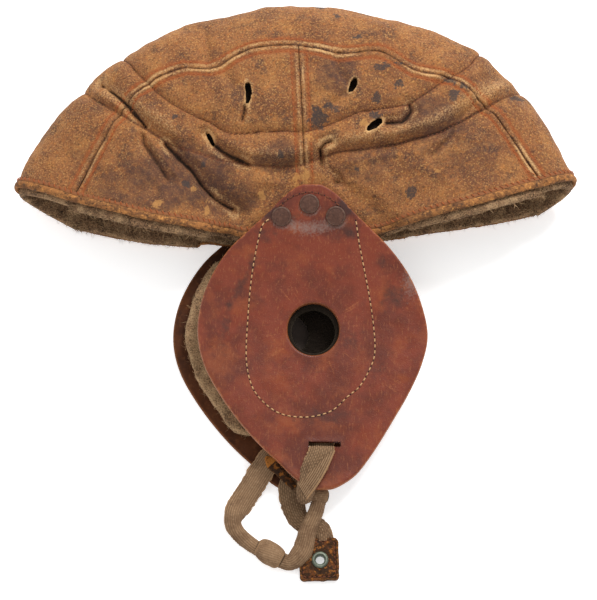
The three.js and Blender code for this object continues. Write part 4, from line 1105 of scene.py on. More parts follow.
# White acrylic, lit from below, so that shadows on it stay pale.
STUDIO_ACRYLIC = Finish(name="backlit_white_acrylic", base="#f4f4f4", roughness=0.9, spread=0.02, patch=90,
                        glow=0.47)
# The dark card below the ear holes is painted shade in them: it keeps the sheet's glow out of them.
SHADE_CARD = Finish(name="painted_shade_card", base="#6a5c54", roughness=0.95, spread=0.02, patch=90)


class Workshop:
    """Makes pieces for the scene and remembers the materials that they share."""

    def __init__(self) -> None:
        """Start with no materials."""
        self.materials: dict = {}

    def material(self, finish: Finish) -> bpy.types.Material:
        """Give the material of a finish, made once."""
        if finish.name not in self.materials:
            self.materials[finish.name] = finish.made()
        return self.materials[finish.name]

    def piece(self, name: str, solid: Solid, finish: Finish, slot: Slot,
              replaced: Sequence[str] = (), crisp: float = 40.0) -> bpy.types.Object:
        """Make one piece of the helmet from a solid.

        Args:
            name: The piece's name.
            solid: Its shape in millimetres.
            finish: Its finish.
            slot: The record's slot for its finish; not used.
            replaced: The nodes that it stands for.
            crisp: Edges that turn by more than this many degrees stay sharp.

        Returns:
            The new object.
        """
        mesh = bpy.data.meshes.new(name)
        resting = solid.points + SHIFT
        resting[:, 2] = np.maximum(resting[:, 2], FLOOR_Z)
        mesh.from_pydata((resting * MM).tolist(), [], solid.faces)
        for mark, values in solid.marks.items():
            layer = mesh.attributes.new(mark, "FLOAT", "POINT")
            layer.data.foreach_set("value", np.asarray(values, np.float32))
        work = bmesh.new()
        work.from_mesh(mesh)
        bmesh.ops.remove_doubles(work, verts=work.verts, dist=1e-6)
        bmesh.ops.dissolve_degenerate(work, edges=work.edges, dist=1e-7)
        work.to_mesh(mesh)
        work.free()
        mesh.shade_smooth()
        mesh.set_sharp_from_angle(angle=math.radians(crisp))
        mesh.materials.append(self.material(finish))
        piece = bpy.data.objects.new(name, mesh)
        bpy.context.scene.collection.objects.link(piece)
        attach(piece, "root")
        if replaced:
            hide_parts(*replaced)
        LOG.info("%s: %d faces", name, len(mesh.polygons))
        return piece


def grid(first: Sequence[float], second: Sequence[float]) -> tuple:
    """Pair every value of one list with every value of another, as flat arrays."""
    a, b = np.meshgrid(first, second, indexing="ij")
    return a.ravel(), b.ravel()


def walked(points: np.ndarray, pitch: float) -> tuple:
    """Walk along a path with even steps.

    Args:
        points: The path's places.
        pitch: The length of a step.

    Returns:
        The places and directions at each step, and where on the path each is.
    """
    length = run_length(points)
    count = max(int(length[-1] / pitch), 2)
    at = (np.arange(count) + 0.5) * length[-1] / count
    places = np.stack([np.interp(at, length, points[:, k]) for k in range(points.shape[1])], -1)
    ahead = np.stack([np.interp(at + 0.4, length, points[:, k]) for k in range(3)], -1)
    behind = np.stack([np.interp(at - 0.4, length, points[:, k]) for k in range(3)], -1)
    run = ahead - behind
    run = run / np.maximum(np.linalg.norm(run, axis=1, keepdims=True), 1e-9)
    return places, run, np.interp(at, length, np.arange(len(points)))


@dataclass(frozen=True)
class Thread:
    """How a line is sewn.

    Attributes:
        pitch: From one stitch to the next.
        length: The stitches' length.
        radius: The thread's radius.
        lift: How far the thread's middle stands over the surface.
    """

    pitch: float
    length: float
    radius: float
    lift: float


SEAM_THREAD = Thread(2.6, 1.9, 0.26, 0.12)
RING_THREAD = Thread(2.3, 1.5, 0.22, 0.1)
WHIP_THREAD = Thread(3.1, 2.3, 0.25, 0.2)
FLAP_THREAD = Thread(3.0, 2.2, 0.34, 0.12)
AWL_DOTS = Thread(3.0, 0.8, 0.42, 0.0)
TAB_THREAD = Thread(2.4, 1.7, 0.26, 0.15)


def stitches(middles: np.ndarray, run: np.ndarray, up: np.ndarray, thread: Thread) -> Solid:
    """Sew stitches: short threads that rise from the surface and dive back into it.

    Args:
        middles: Each stitch's middle on the surface.
        run: Each stitch's direction.
        up: The surface's direction outward.
        thread: How they are sewn.

    Returns:
        All stitches as one solid.
    """
    along = np.array([-0.5, -0.25, 0.25, 0.5])
    rise = np.array([-1.6, 0.35, 0.35, -1.6]) * thread.radius + np.array([0, 1, 1, 0]) * thread.lift
    swell = np.array([0.8, 1.0, 1.0, 0.8]) * thread.radius
    sides = 5
    angle = round_angles(sides)
    across = unit(np.cross(up, run))
    up = unit(np.cross(run, across))
    base = (middles[:, None] + run[:, None] * (along * thread.length)[None, :, None]
            + up[:, None] * rise[None, :, None])
    circle = (across[:, None, None] * np.cos(angle)[None, None, :, None]
              + up[:, None, None] * np.sin(angle)[None, None, :, None])
    points = lifted(base[:, :, None] + circle * swell[None, :, None, None])
    shape = (len(middles), len(along), sides)
    index = np.arange(math.prod(shape)).reshape(shape)
    following = np.roll(index, -1, axis=2)
    quads = np.stack([index[:, :-1], following[:, :-1], following[:, 1:], index[:, 1:]], -1)
    faces = [tuple(face) for face in quads.reshape(-1, 4).tolist()]
    faces += [tuple(end[::-1]) for end in index[:, 0].tolist()]
    faces += [tuple(end) for end in index[:, -1].tolist()]
    return Solid(points.reshape(-1, 3), faces)


def lifted(points: np.ndarray) -> np.ndarray:
    """Lift whole threads that would reach below the surface that the helmet lies on."""
    sunk = np.minimum(points[..., 2].reshape(len(points), -1).min(axis=1) - FLOOR_Z, 0)
    raised = points.copy()
    raised[..., 2] -= sunk.reshape(-1, *[1] * (points.ndim - 2))
    return raised


def fibres(roots: np.ndarray, normals: np.ndarray, count: int, length: float, seed: int,
           stand: float = 0.35, radius: float = 0.11) -> Solid:
    """Grow loose wool fibres from a felt surface.

    Args:
        roots: Places on the felt.
        normals: The felt's outward directions there.
        count: How many fibres.
        length: A fibre's usual length.
        seed: Which random draw.
        stand: How much the fibres stand up, from 0, lying, to 1, upright.
        radius: A fibre's radius.

    Returns:
        All fibres as one solid of closed needles.
    """
    draw = np.random.default_rng(seed)
    chosen = draw.integers(0, len(roots), count)
    base = roots[chosen] + draw.normal(0, 0.5, (count, 3)) * 0.6
    up = normals[chosen]
    lie = draw.normal(0, 1, (count, 3))
    lie = unit(lie - up * np.sum(lie * up, axis=1, keepdims=True))
    bend = unit(np.cross(up, lie))
    reach = length * draw.uniform(0.5, 1.4, count)[:, None]
    rise = stand * draw.uniform(0.2, 1.2, count)[:, None]
    curl = draw.normal(0, 0.35, count)[:, None]
    middle = base + lie * reach * 0.5 + up * reach * rise * 0.35 + bend * reach * curl * 0.3
    tip = base + lie * reach * 0.85 + up * reach * rise * 0.3 + bend * reach * curl
    start = base - up * 0.3
    angle = round_angles(3)
    circle = (up[:, None] * np.sin(angle)[None, :, None] + bend[:, None] * np.cos(angle)[None, :, None])
    points = np.concatenate([start[:, None] + circle * radius, middle[:, None] + circle * radius * 0.9,
                             tip[:, None]], axis=1)
    index = np.arange(count * 7).reshape(count, 7)
    faces = []
    for j in range(3):
        k = (j + 1) % 3
        faces += index[:, [j, k, 3 + k, 3 + j]].tolist()
        faces += index[:, [3 + j, 3 + k, 6]].tolist()
    faces += index[:, [2, 1, 0]].tolist()
    solid = Solid(lifted(points).reshape(-1, 3), [tuple(face) for face in faces])
    solid.marks["fibre"] = np.repeat(draw.uniform(0.2, 1.0, count), 7)
    return solid.facing_out()


@dataclass
class CrownShell:
    """The crown: leather centre band, four side panels, felt lining, binding and their sewing."""

    crown: Crown = field(default_factory=Crown)
    band_cells: tuple = (420, 60)
    left_cells: tuple = (200, 105)
    right_cells: tuple = (70, 34)
    seam_gap: float = 0.05
    end_gap: float = 0.002
    middle_gap: float = 0.0002
    rim_steps: int = 760

    def build(self, shop: Workshop) -> None:
        """Make every piece of the crown."""
        self.centre_band(shop)
        for side, name in ((1, "left"), (-1, "right")):
            cells = self.left_cells if side > 0 else self.right_cells
            front = np.linspace(self.end_gap, 0.5 - self.middle_gap, cells[0])
            self.side_panel(shop, f"{name}_front_panel", side, front, cells[1])
            self.side_panel(shop, f"{name}_back_panel", side, (1 - front)[::-1], cells[1])
        self.sewing(shop)
        self.lining(shop)
        self.binding(shop)

    def leather(self, s: np.ndarray, t: np.ndarray, shape: tuple, vents: Sequence[Vent],
                keep: Optional[np.ndarray] = None) -> Solid:
        """Make a leather piece over flat arrays of places.

        Args:
            s: Places from brow to nape.
            t: Places from the right edge to the left edge.
            shape: The grid's rows and columns.
            vents: The vents cut through it.
            keep: Cells to keep, where some are already cut.

        Returns:
            The closed piece with its marks of wear and painted shade.
        """
        relief = self.crown.relief(s, t)
        place, normal = relief["place"], relief["normal"]
        height = relief["broad"] + relief["sharp"]
        inside = np.zeros(len(s), bool)
        frayed = np.zeros(len(s))
        for vent in vents:
            distance, near_x, near_y, half = path_distance(place[:, 0], place[:, 1], np.array(vent.path))
            ragged = half * (1 + 0.16 * noise(place, 1.6, 41)) + 0.1 * noise(place, 0.7, 43)
            gap = distance - ragged
            frayed = np.maximum(frayed, bell(np.maximum(gap, 0), 1.1))
            cut = gap < 0
            inside |= cut
            out = unit(np.stack([place[:, 0] - near_x, place[:, 1] - near_y], -1))
            place[cut, :2] += out[cut] * (-gap[cut])[:, None]
        height = height + 0.35 * frayed * (~inside)
        outer = place + normal * height[:, None]
        inner_depth = np.minimum(height - 0.9, relief["broad"] - LEATHER + 0.1)
        inner = place + normal * inner_depth[:, None]
        marks = {name: relief[name] for name in ("rub", "cavity", "dye", "stain", "bare", "soil")}
        marks["rub"] = np.clip(marks["rub"] + 0.55 * frayed, 0, 1)
        cells = None
        if vents:
            hole = inside.reshape(shape)
            cells = ~(hole[:-1, :-1] & hole[1:, :-1] & hole[1:, 1:] & hole[:-1, 1:])
        if keep is not None:
            cells = keep if cells is None else cells & keep
        return shell(outer.reshape(*shape, 3), inner.reshape(*shape, 3), cells,
                     {name: value.reshape(shape) for name, value in marks.items()})

    def centre_band(self, shop: Workshop) -> None:
        """Make the band over the crown's top, with its worn vent on the fold."""
        rows, columns = self.band_cells
        s, t = grid(np.linspace(0, 1, rows), np.linspace(-BAND_SHARE, BAND_SHARE, columns))
        place = self.crown.plain(s, t)
        edge = TOP_VENT_HALF * (1 + 0.15 * noise(place, 2.0, 47))
        up = (place[:, 2] - TOP_VENT_Z) / (edge * TOP_VENT_SHAPE)
        vent = np.hypot((place[:, 0] - TOP_VENT_X) / edge, up) < 1
        vent = (vent & (place[:, 1] > TOP_VENT_Y)).reshape(rows, columns)
        keep = ~(vent[:-1, :-1] | vent[1:, 1:])
        solid = self.leather(s, t, (rows, columns), (), keep)
        shop.piece("centre_band_leather", solid, SUEDE, Slot.CROWN, ("centre_band",), 60)

    def side_panel(self, shop: Workshop, node: str, side: int, s_values: np.ndarray, rows: int) -> None:
        """Make one side panel.

        Args:
            shop: The workshop.
            node: The node that the panel stands for.
            side: 1 for the left side, -1 for the right.
            s_values: Its places from brow to nape.
            rows: How many rows from seam to edge.
        """
        full = np.full_like(s_values, float(side))
        reach = np.linalg.norm(self.crown.plain(s_values, full * BAND_SHARE)
                               - self.crown.plain(s_values, full), axis=1)
        first = BAND_SHARE + np.minimum(self.seam_gap / reach, 0.1)
        share = np.linspace(0, 1, rows)
        t = side * (first[:, None] + (1 - first[:, None]) * share[None])
        s = np.repeat(s_values, rows)
        vents = VENTS if side > 0 else ()
        solid = self.leather(s, t.ravel(), (len(s_values), rows), vents)
        shop.piece(f"{node}_leather", solid, SUEDE, Slot.CROWN, (node,), 60)

    def row_beside_seam(self, side: int, offset: float) -> np.ndarray:
        """Give the places of a stitch row beside the band's seam.

        Args:
            side: 1 for the left side, -1 for the right.
            offset: How far from the seam, negative towards the fold.

        Returns:
            Rows of s and t along the seam.
        """
        s = np.linspace(0.012, 0.988, 700)
        seam = np.full_like(s, side * BAND_SHARE)
        step, furthest = 0.01, 0.2
        beside = self.crown.plain(s, seam + side * math.copysign(step, offset))
        stretch = np.linalg.norm(beside - self.crown.plain(s, seam), axis=1)
        t = side * (BAND_SHARE + np.sign(offset) * np.minimum(abs(offset) * step / stretch, furthest))
        return np.stack([s, t], -1)

    def ring_row(self, ring: np.ndarray, side: int) -> np.ndarray:
        """Give the places where a quilting ring crosses one side of the crown.

        Args:
            ring: The ring's x, y.
            side: 1 for the left side, -1 for the right.

        Returns:
            Rows of s and t along the ring.
        """
        s = np.linspace(0, 1, 800)
        low, high = np.zeros(len(s)), np.ones(len(s))

        def above(a: np.ndarray) -> np.ndarray:
            """Give how far the crown at a lies above the ring."""
            place = self.crown.plain(s, side * a)
            return place[:, 1] - smooth_value(ring[:, 0], ring[:, 1], place[:, 0])

        crossed = (above(low) > 0) & (above(high) < 0)
        for _ in range(18):
            middle = (low + high) / 2
            up = above(middle) > 0
            low = np.where(up, middle, low)
            high = np.where(up, high, middle)
        return np.stack([s, side * low], -1)[crossed]

    def sewn(self, row: np.ndarray, thread: Thread) -> Solid:
        """Sew a row of stitches along places on the crown, clear of the flap and lost where worn.

        Args:
            row: Rows of s and t.
            thread: How they are sewn.

        Returns:
            All stitches as one solid.
        """
        path = self.crown.surface(row[:, 0], row[:, 1])
        _, run, where = walked(path, thread.pitch)
        s = np.interp(where, np.arange(len(row)), row[:, 0])
        t = np.interp(where, np.arange(len(row)), row[:, 1])
        on_top = self.crown.surface(s, t)
        clear = outside_flap(on_top[:, 0], on_top[:, 1]) > 0.5
        worn = noise(on_top, 9, 53) > -0.75
        kept = (clear | (t < 0)) & worn
        return stitches(on_top[kept], run[kept], self.crown.normal(s[kept], t[kept]), thread)

    def sewing(self, shop: Workshop) -> None:
        """Sew the seams with orange thread and the quilting rings with brown thread."""
        rows = []
        for side in (1, -1):
            rows += [self.row_beside_seam(side, offset) for offset in (STITCH_AWAY, -STITCH_AWAY)]
            t = np.linspace(BAND_SHARE + 0.03, 0.985, 240)
            middle = self.crown.plain(np.full_like(t, 0.5), side * t)
            width = np.linalg.norm(self.crown.plain(np.full_like(t, 0.51), side * t) - middle, axis=1)
            for away in (1, -1):
                s = 0.5 + away * 0.01 * (STITCH_AWAY + 0.3) / width
                rows.append(np.stack([s, side * t], -1))
        seams = reduce(Solid.joined, [self.sewn(row, SEAM_THREAD) for row in rows])
        shop.piece("seam_stitches", seams, ORANGE_THREAD, Slot.CROWN)
        rings = reduce(Solid.joined, [self.sewn(self.ring_row(ring, side), RING_THREAD)
                                      for ring in (LOWER_RING, UPPER_RING) for side in (1, -1)])
        shop.piece("quilting_stitches", rings, BROWN_THREAD, Slot.CROWN)

    def lining(self, shop: Workshop) -> None:
        """Make the felt lining, its soft edge past the leather, and its loose fibres."""
        past = np.array([2.5, 4.6, 6.3, 7.4, 8.1, 8.5, 8.6])
        s_in = np.linspace(0, 1, 236)
        t_in = np.concatenate([
            np.linspace(-1, -BAND_SHARE, 34), np.linspace(-BAND_SHARE, BAND_SHARE, 22)[1:-1],
            np.linspace(BAND_SHARE, 1, 44)])
        s_line = np.concatenate([np.zeros(len(past)), s_in, np.ones(len(past))])
        t_line = np.concatenate([np.full(len(past), -1.0), t_in, np.full(len(past), 1.0)])
        s_past = np.concatenate([past[::-1], np.zeros(len(s_in)), past])
        t_past = np.concatenate([past[::-1], np.zeros(len(t_in)), past])
        s, t = grid(s_line, t_line)
        beyond_s, beyond_t = grid(s_past, t_past)
        beyond = np.maximum(beyond_s, beyond_t)
        relief = self.crown.relief(s, t)
        normal = relief["normal"]
        reach = FELT_PAST_RIGHT + (FELT_PAST_LEFT - FELT_PAST_RIGHT) * (t + 1) / 2
        forward = beyond / past[-1] * reach
        out = self.crown.edge_outward(s, t)
        place = relief["place"] + out * forward[:, None]
        round_from, round_over = 6.3, 2.3
        tip = np.clip((beyond - round_from) / round_over, 0, 1)
        half = FELT / 2 * np.sqrt(np.clip(1 - tip ** 2, 0, 1))
        middle = LEATHER + GAP + FELT / 2
        pit_depth = 2.6
        pit = np.zeros(len(s))
        for vent in VENTS:
            distance, _, _, width = path_distance(place[:, 0], place[:, 1], np.array(vent.path))
            pit = np.maximum(pit, pit_depth * bell(np.maximum(distance - width, 0), 1.6) * (t > 0.2))
        lumps = rough(place, LINING_LUMPS, 61)
        lumps = lumps * np.where(beyond > 0, 1.0, 0.5)
        mean = relief["broad"] - middle - pit
        outer = place + normal * (mean + half + np.where(beyond > 0, lumps, 0))[:, None]
        inner = place + normal * (mean - half + lumps * 1.4)[:, None]
        shape = (len(s_line), len(t_line))
        # Painted shade on the felt under the vents.
        marks = {"cavity": np.clip(pit / pit_depth, 0, 1) * 0.9, "fibre": 0.4 + 0.35 * noise(place, 4, 67)}
        solid = shell(outer.reshape(*shape, 3), inner.reshape(*shape, 3), None,
                      {name: value.reshape(shape) for name, value in marks.items()})
        felt = shop.piece("felt_lining_wool", solid, WOOL_FELT, Slot.FELT,
                          ("felt_lining_left", "felt_lining_right"), 80)
        edge = beyond > 2.0
        mouth = np.abs(t) > 0.55
        wool = fibres(inner[mouth], -normal[mouth], count=3900, length=4.2, seed=71)
        wool = wool.joined(fibres(outer[edge], out[edge], count=2600, length=2.6, seed=73, stand=0.5))
        shop.piece("lining_fibres", wool, WOOL_FELT, Slot.FELT)

    def rim_row(self, count: int) -> tuple:
        """Give places all the way round the crown's open edge, evenly spaced."""
        legs = (((0, 1), (1, 1)), ((1, BAND_SHARE), (1, -BAND_SHARE)), ((1, -1), (0, -1)),
                ((0, -BAND_SHARE), (0, BAND_SHARE)))
        s, t = [], []
        for (s0, t0), (s1, t1) in legs:
            share = np.linspace(0, 1, 400)
            s.append(s0 + (s1 - s0) * share)
            t.append(t0 + (t1 - t0) * share)
        s, t = np.concatenate(s), np.concatenate(t)
        path = self.crown.plain(s, t)
        length = run_length(path)
        at = np.linspace(0, length[-1], count, endpoint=False)
        return np.interp(at, length, s), np.interp(at, length, t)

    def binding(self, shop: Workshop) -> None:
        """Make the bound edge and the whip stitches that hold it."""
        s, t = self.rim_row(self.rim_steps)
        relief = self.crown.relief(s, t)
        normal = relief["normal"]
        out = self.crown.edge_outward(s, t)
        base = relief["place"] + normal * relief["broad"][:, None]
        low = -LEATHER + 1.5 * GAP
        profile = np.array([
            (0.05, low), (1.5, low - 0.05), (3.2, low), (4.3, low + 0.25), (4.95, low + 0.9), (5.05, -0.4),
            (4.7, 0.25), (4.1, 0.7), (3.2, 0.9), (2.3, 0.86), (1.7, 0.66), (1.35, 0.42), (1.0, 0.5),
            (0.5, 0.5), (-0.1, 0.36), (-0.4, 0.1), (0.0, -0.4),
        ])
        fold, groove_place = 1.3, 1.35
        rings = []
        for along, up in profile:
            sample = base + out * along
            worn = rough(sample, ((4, 0.22), (1.7, 0.14), (0.8, 0.07)), 81)
            edge = 1 if along > 3.5 else 0.5
            rings.append(sample + normal * (up + worn * (up > -0.6))[:, None]
                         + out * (GAP + edge * worn * 0.8)[:, None])
        rings = np.stack(rings, 1)
        index = np.arange(rings.shape[0] * rings.shape[1]).reshape(rings.shape[:2])
        # Painted shade along the groove where the binding folds over.
        groove = 0.95 * bell(profile[:, 0] - groove_place, 0.2) * (profile[:, 1] > 0)
        marks = {"seam": np.tile(np.where(profile[:, 0] < fold, 1.0, 0.0), len(rings)),
                 "cavity": np.tile(groove, len(rings))}
        solid = Solid(rings.reshape(-1, 3), wound(np.vstack([index, index[:1]])), marks).facing_out()
        shop.piece("binding_strip", solid, BINDING, Slot.BINDING, ("rim_binding",), 70)
        path = base + normal * 0.55
        middles, run, where = walked(path, WHIP_THREAD.pitch)
        pick = np.clip(np.round(where).astype(int), 0, len(s) - 1)
        slanted = unit(out[pick] * 0.85 + run * 0.5)
        sewn = stitches(middles + out[pick] * 0.35, slanted, normal[pick], WHIP_THREAD)
        shop.piece("whip_stitches", sewn, ORANGE_THREAD, Slot.BINDING)


@dataclass
class EarFlap:
    """An ear flap: harness leather, rivets, stitching and a felt pad.

    Attributes:
        name: left or right.
        out: 1 where its outer face is up, -1 where it is down.
        shift_x: How far it lies from the left flap's place, towards the nape.
        shift_y: How far it lies from the left flap's place, towards the crown.
        slot: The strap slot's middle x and y, its length and its width.
        dark_places: Dark blotches: x, y, half width, half height and strength.
        scuffs: Rubbed places, in the same columns.
        bloom_and_sheen: Places with a pale waxy film, and one painted grey reflection near the right edge, in
            the same columns.
    """

    name: str
    out: int
    shift_x: float = 0.0
    shift_y: float = 0.0
    ear_x: float = 7.5
    ear_y: float = -17.7
    ear_radius: float = 13.0
    pad_radius: float = 11.0
    slot: tuple = (13.0, -75.8, 16.0, 2.6)
    pad_top: float = 21.5
    pad_bottom: float = -70.0
    pad_inset: float = 6.5
    edge_round: float = 1.3
    pad_round: float = 2.2
    dark_places: tuple = (
        (-15, 40, 5, 6, 1.0), (24, 42, 6, 6, 1.0), (-3, 36, 12, 4, 0.5), (26, 30, 10, 6, 0.6),
        (-18, 28, 8, 6, 0.5), (48, -2, 8, 8, 0.7), (42, 16, 5, 5, 0.4), (26, -22, 9, 14, 0.35),
        (-38, -20, 6, 16, 0.35), (12, -62, 22, 5, 0.5), (6, -92, 18, 5, 0.35), (40, -38, 8, 6, 0.4),
    )
    scuffs: tuple = ((48, -45, 8, 7, 0.75), (9, -84, 26, 12, 0.35))
    # The second row is a painted grey reflection near the flap's right edge.
    bloom_and_sheen: tuple = ((5, 30, 14, 5, 0.45), (57, 6, 6, 12, 0.65))
    dark_crease: tuple = ((-22, 18), (-27, 8), (-34, -4), (-37, -18))
    rivets: tuple = ((5.5, 43.6), (-8.6, 37.6), (18.8, 37.8))
    stitch_path: tuple = (
        (-14.6, 36.6), (-18, 33.6), (-20.4, 26), (-22.6, 15.5), (-24.4, 2.5), (-25.5, -11),
        (-26.4, -29), (-25.6, -38.8), (-22.9, -47.6), (-17.9, -54.3), (-10, -60), (-0.3, -62.1),
        (9.1, -61.5), (17.4, -58.5), (24.5, -52), (31, -46.4), (37, -35.4), (38.5, -28.9),
        (38, -17.2), (36, -2.4), (33, 13.2), (30.7, 24.8), (29, 35.8),
    )
    crown_path: tuple = (
        (-10.3, 42), (-6, 45.4), (-1, 47.9), (5.3, 49.2), (11, 48.4), (16.5, 45.8), (21.1, 42.2),
    )

    def under(self, y: np.ndarray) -> np.ndarray:
        """Give the height of the flap's underside at y."""
        return left_flap_under(y) if self.out > 0 else right_flap_under(y)

    def outline(self, inset: float, top: float, bottom: float) -> np.ndarray:
        """Give the outline's distance from the ear hole all round.

        Args:
            inset: How far inside the flap's edge it runs.
            top: Its highest y.
            bottom: Its lowest y.

        Returns:
            Rows of angle and distance, with the angle rising.
        """
        y = np.linspace(bottom, top, 400)
        left = np.stack([flap_left(y) + inset, y], -1)
        right = np.stack([flap_right(y) - inset, y], -1)
        across = np.linspace(0, 1, 60)[1:-1, None]
        path = np.vstack([right, right[-1] + (left[-1] - right[-1]) * across, left[::-1],
                          left[0] + (right[0] - left[0]) * across])
        for _ in range(60):
            path = (np.roll(path, 1, axis=0) + 2 * path + np.roll(path, -1, axis=0)) / 4
        dx, dy = path[:, 0] - self.ear_x, path[:, 1] - self.ear_y
        angle = np.unwrap(np.arctan2(dy, dx))
        order = np.argsort(angle)
        return np.stack([angle[order], np.hypot(dx, dy)[order]], -1)

    def rosette(self, inset: float, top: float, bottom: float, hole: float, counts: tuple,
                edge: float) -> tuple:
        """Lay a grid between the ear hole and an outline.

        Args:
            inset: How far inside the flap's edge the outline runs.
            top: Its highest y.
            bottom: Its lowest y.
            hole: The ear hole's radius.
            counts: How many steps round and outward.
            edge: The width of the rounded edge.

        Returns:
            The grid's x, y, distance from the hole, distance from the outline and angle.
        """
        around, outward = counts
        border = self.outline(inset, top, bottom)
        angle = np.linspace(border[0, 0], border[0, 0] + 2 * np.pi, around, endpoint=False)
        radius = np.interp(angle, border[:, 0], border[:, 1], period=2 * np.pi)
        span = radius - hole
        rim = edge * np.array([0, 0.08, 0.25, 0.5, 0.78, 1.1])
        share = np.linspace(0, 1, outward)
        inner = rim[None] * np.ones((around, 1))
        outer = span[:, None] - rim[::-1][None]
        middle = inner[:, -1:] + (outer[:, :1] - inner[:, -1:]) * share[None, 1:-1]
        away = np.concatenate([inner, middle, outer], axis=1)
        x = self.ear_x + np.cos(angle)[:, None] * (hole + away)
        y = self.ear_y + np.sin(angle)[:, None] * (hole + away)
        return x, y, away, span[:, None] - away, np.repeat(angle[:, None], away.shape[1], axis=1)

    def placed(self, x: np.ndarray, y: np.ndarray, z: np.ndarray) -> np.ndarray:
        """Put the flap's own places where the flap lies."""
        return np.stack([x + self.shift_x, y + self.shift_y, z], -1)

    def build(self, shop: Workshop) -> None:
        """Make every piece of the flap."""
        self.leather(shop)
        self.pad(shop)
        self.heads(shop)
        self.sewing(shop)

    def leather(self, shop: Workshop) -> None:
        """Make the flap's leather with its ear hole, strap slot and worn edges."""
        counts = (350, 70) if self.out > 0 else (180, 56)
        x, y, inner_edge, outer_edge, angle = self.rosette(
            0.0, 53.4, -98.4, self.ear_radius, counts, self.edge_round)
        slot_x, slot_y, wide, tall = self.slot
        dx, dy = x - slot_x, y - slot_y
        inside = (np.abs(dx) < wide / 2) & (np.abs(dy) < tall / 2)
        to_side = wide / 2 - np.abs(dx) < tall / 2 - np.abs(dy)
        x = np.where(inside & to_side, slot_x + np.sign(dx) * wide / 2, x)
        y = np.where(inside & ~to_side, slot_y + np.sign(dy) * tall / 2, y)
        hole = np.vstack([inside, inside[:1]])
        places = np.stack([x - slot_x, y - slot_y], -1)
        places = np.vstack([places, places[:1]])
        middle = np.abs(places[:-1, :-1] + places[1:, :-1] + places[1:, 1:] + places[:-1, 1:]) / 4
        spans = (middle[..., 0] < wide / 2 - 0.1) & (middle[..., 1] < tall / 2 - 0.1)
        keep = ~(hole[:-1, :-1] & hole[1:, :-1] & hole[1:, 1:] & hole[:-1, 1:]) & ~spans
        edge = np.minimum(inner_edge, outer_edge)
        slot_edge = np.maximum(np.abs(dx) - wide / 2, np.abs(dy) - tall / 2)
        warp = sheet_noise(x, y, FLAP_WARP, FLAP_WARP_SEED)
        fine = sheet_noise(x, y, ((4, 0.05), (1.5, 0.03)), 93)
        worn = np.clip(self.edge_round - edge, 0, self.edge_round)
        round_off = self.edge_round - np.sqrt(np.clip(self.edge_round ** 2 - worn ** 2, 0, None))
        lip = 0.35 * bell(np.maximum(slot_edge, 0), 1.4) * (self.out > 0)
        under = self.under(y)
        rise = under + FLAP_LEATHER + (warp * smooth_step(0, 6, edge) if self.out > 0 else 0) + fine
        outer = self.placed(x, y, rise - round_off + lip)
        inner = self.placed(x, y, under + round_off * 0.6)
        # Painted shade round the strap slot and just inside the ear hole.
        cavity = np.maximum(0.8 * bell(np.abs(slot_edge), 0.5), 0.6 * bell(inner_edge, 0.7))
        if self.out > 0:
            marks = {**self.wear(x, y, inner_edge, outer_edge, angle), "cavity": cavity}
        else:
            marks = {"rub": 0.9 * bell(outer_edge, 1.2), "cavity": cavity}
        solid = shell(outer, inner, keep, marks, ring=True)
        finish = HARNESS if self.out > 0 else FLESH_SIDE
        shop.piece(f"{self.name}_flap_leather", solid, finish, Slot.FLAP, (f"{self.name}_ear_flap",), 50)

    def wear(self, x: np.ndarray, y: np.ndarray, inner_edge: np.ndarray, outer_edge: np.ndarray,
             angle: np.ndarray) -> dict:
        """Mark where the flap's outer face is rubbed, filmed with wax, cracked, painted with a grey
        reflection and with shade.

        Args:
            x: Places across the flap.
            y: Places along the flap.
            inner_edge: Their distance from the ear hole.
            outer_edge: Their distance from the outline.
            angle: Their direction from the ear hole.

        Returns:
            The marks of wear, painted reflection and painted shade.
        """
        edge = np.minimum(inner_edge, outer_edge)
        around = np.stack([np.cos(angle) * 60, np.sin(angle) * 60, edge * 0.12], -1)
        streak = noise(around.reshape(-1, 3), 1.5, 95).reshape(x.shape)
        rub = np.clip(bell(edge, 0.9) * 0.85 + 0.35 * bell(outer_edge, 6) * (streak > 0.35), 0, 1)
        rub = np.maximum(rub, 0.6 * np.clip(1.3 * streak, 0, 1) * bell(inner_edge - 9, 11))
        rub = np.maximum(rub, sum(self.blotches(x, y, self.scuffs)) * (0.55 + 0.45 * streak))
        across = smooth_step(-17, -10, x) * (1 - smooth_step(22, 28, x))
        crackle = 0.8 * bell(y - 32 - 0.012 * (x - 6) ** 2, 4.2) * across * (0.85 + 0.3 * streak)
        # The bloom rows add a waxy film and, near the right edge, a painted grey reflection.
        crackle = np.maximum.reduce([crackle, *self.blotches(x, y, self.bloom_and_sheen)])
        for rivet_x, rivet_y in self.rivets:
            around_head = np.hypot(x - rivet_x, y - rivet_y)
            below = 1 - smooth_step(-3, 2, y - rivet_y)
            crackle = np.maximum(crackle, 0.7 * bell(around_head - 5.6, 0.8) * below)
        creased, _, _, _ = path_distance(x, y, np.array(self.dark_crease))
        shade = np.maximum.reduce([0.55 * bell(creased, 3.2), *self.blotches(x, y, self.dark_places)])
        return {"rub": rub, "crackle": np.clip(crackle, 0, 1), "shade": np.clip(shade, 0, 1)}

    @staticmethod
    def blotches(x: np.ndarray, y: np.ndarray, table: Sequence[tuple]) -> list:
        """Mark each soft blotch of a table of x, y, half width, half height and strength."""
        return [strength * bell(np.hypot((x - middle_x) / wide, (y - middle_y) / tall), 1.0)
                for middle_x, middle_y, wide, tall, strength in table]

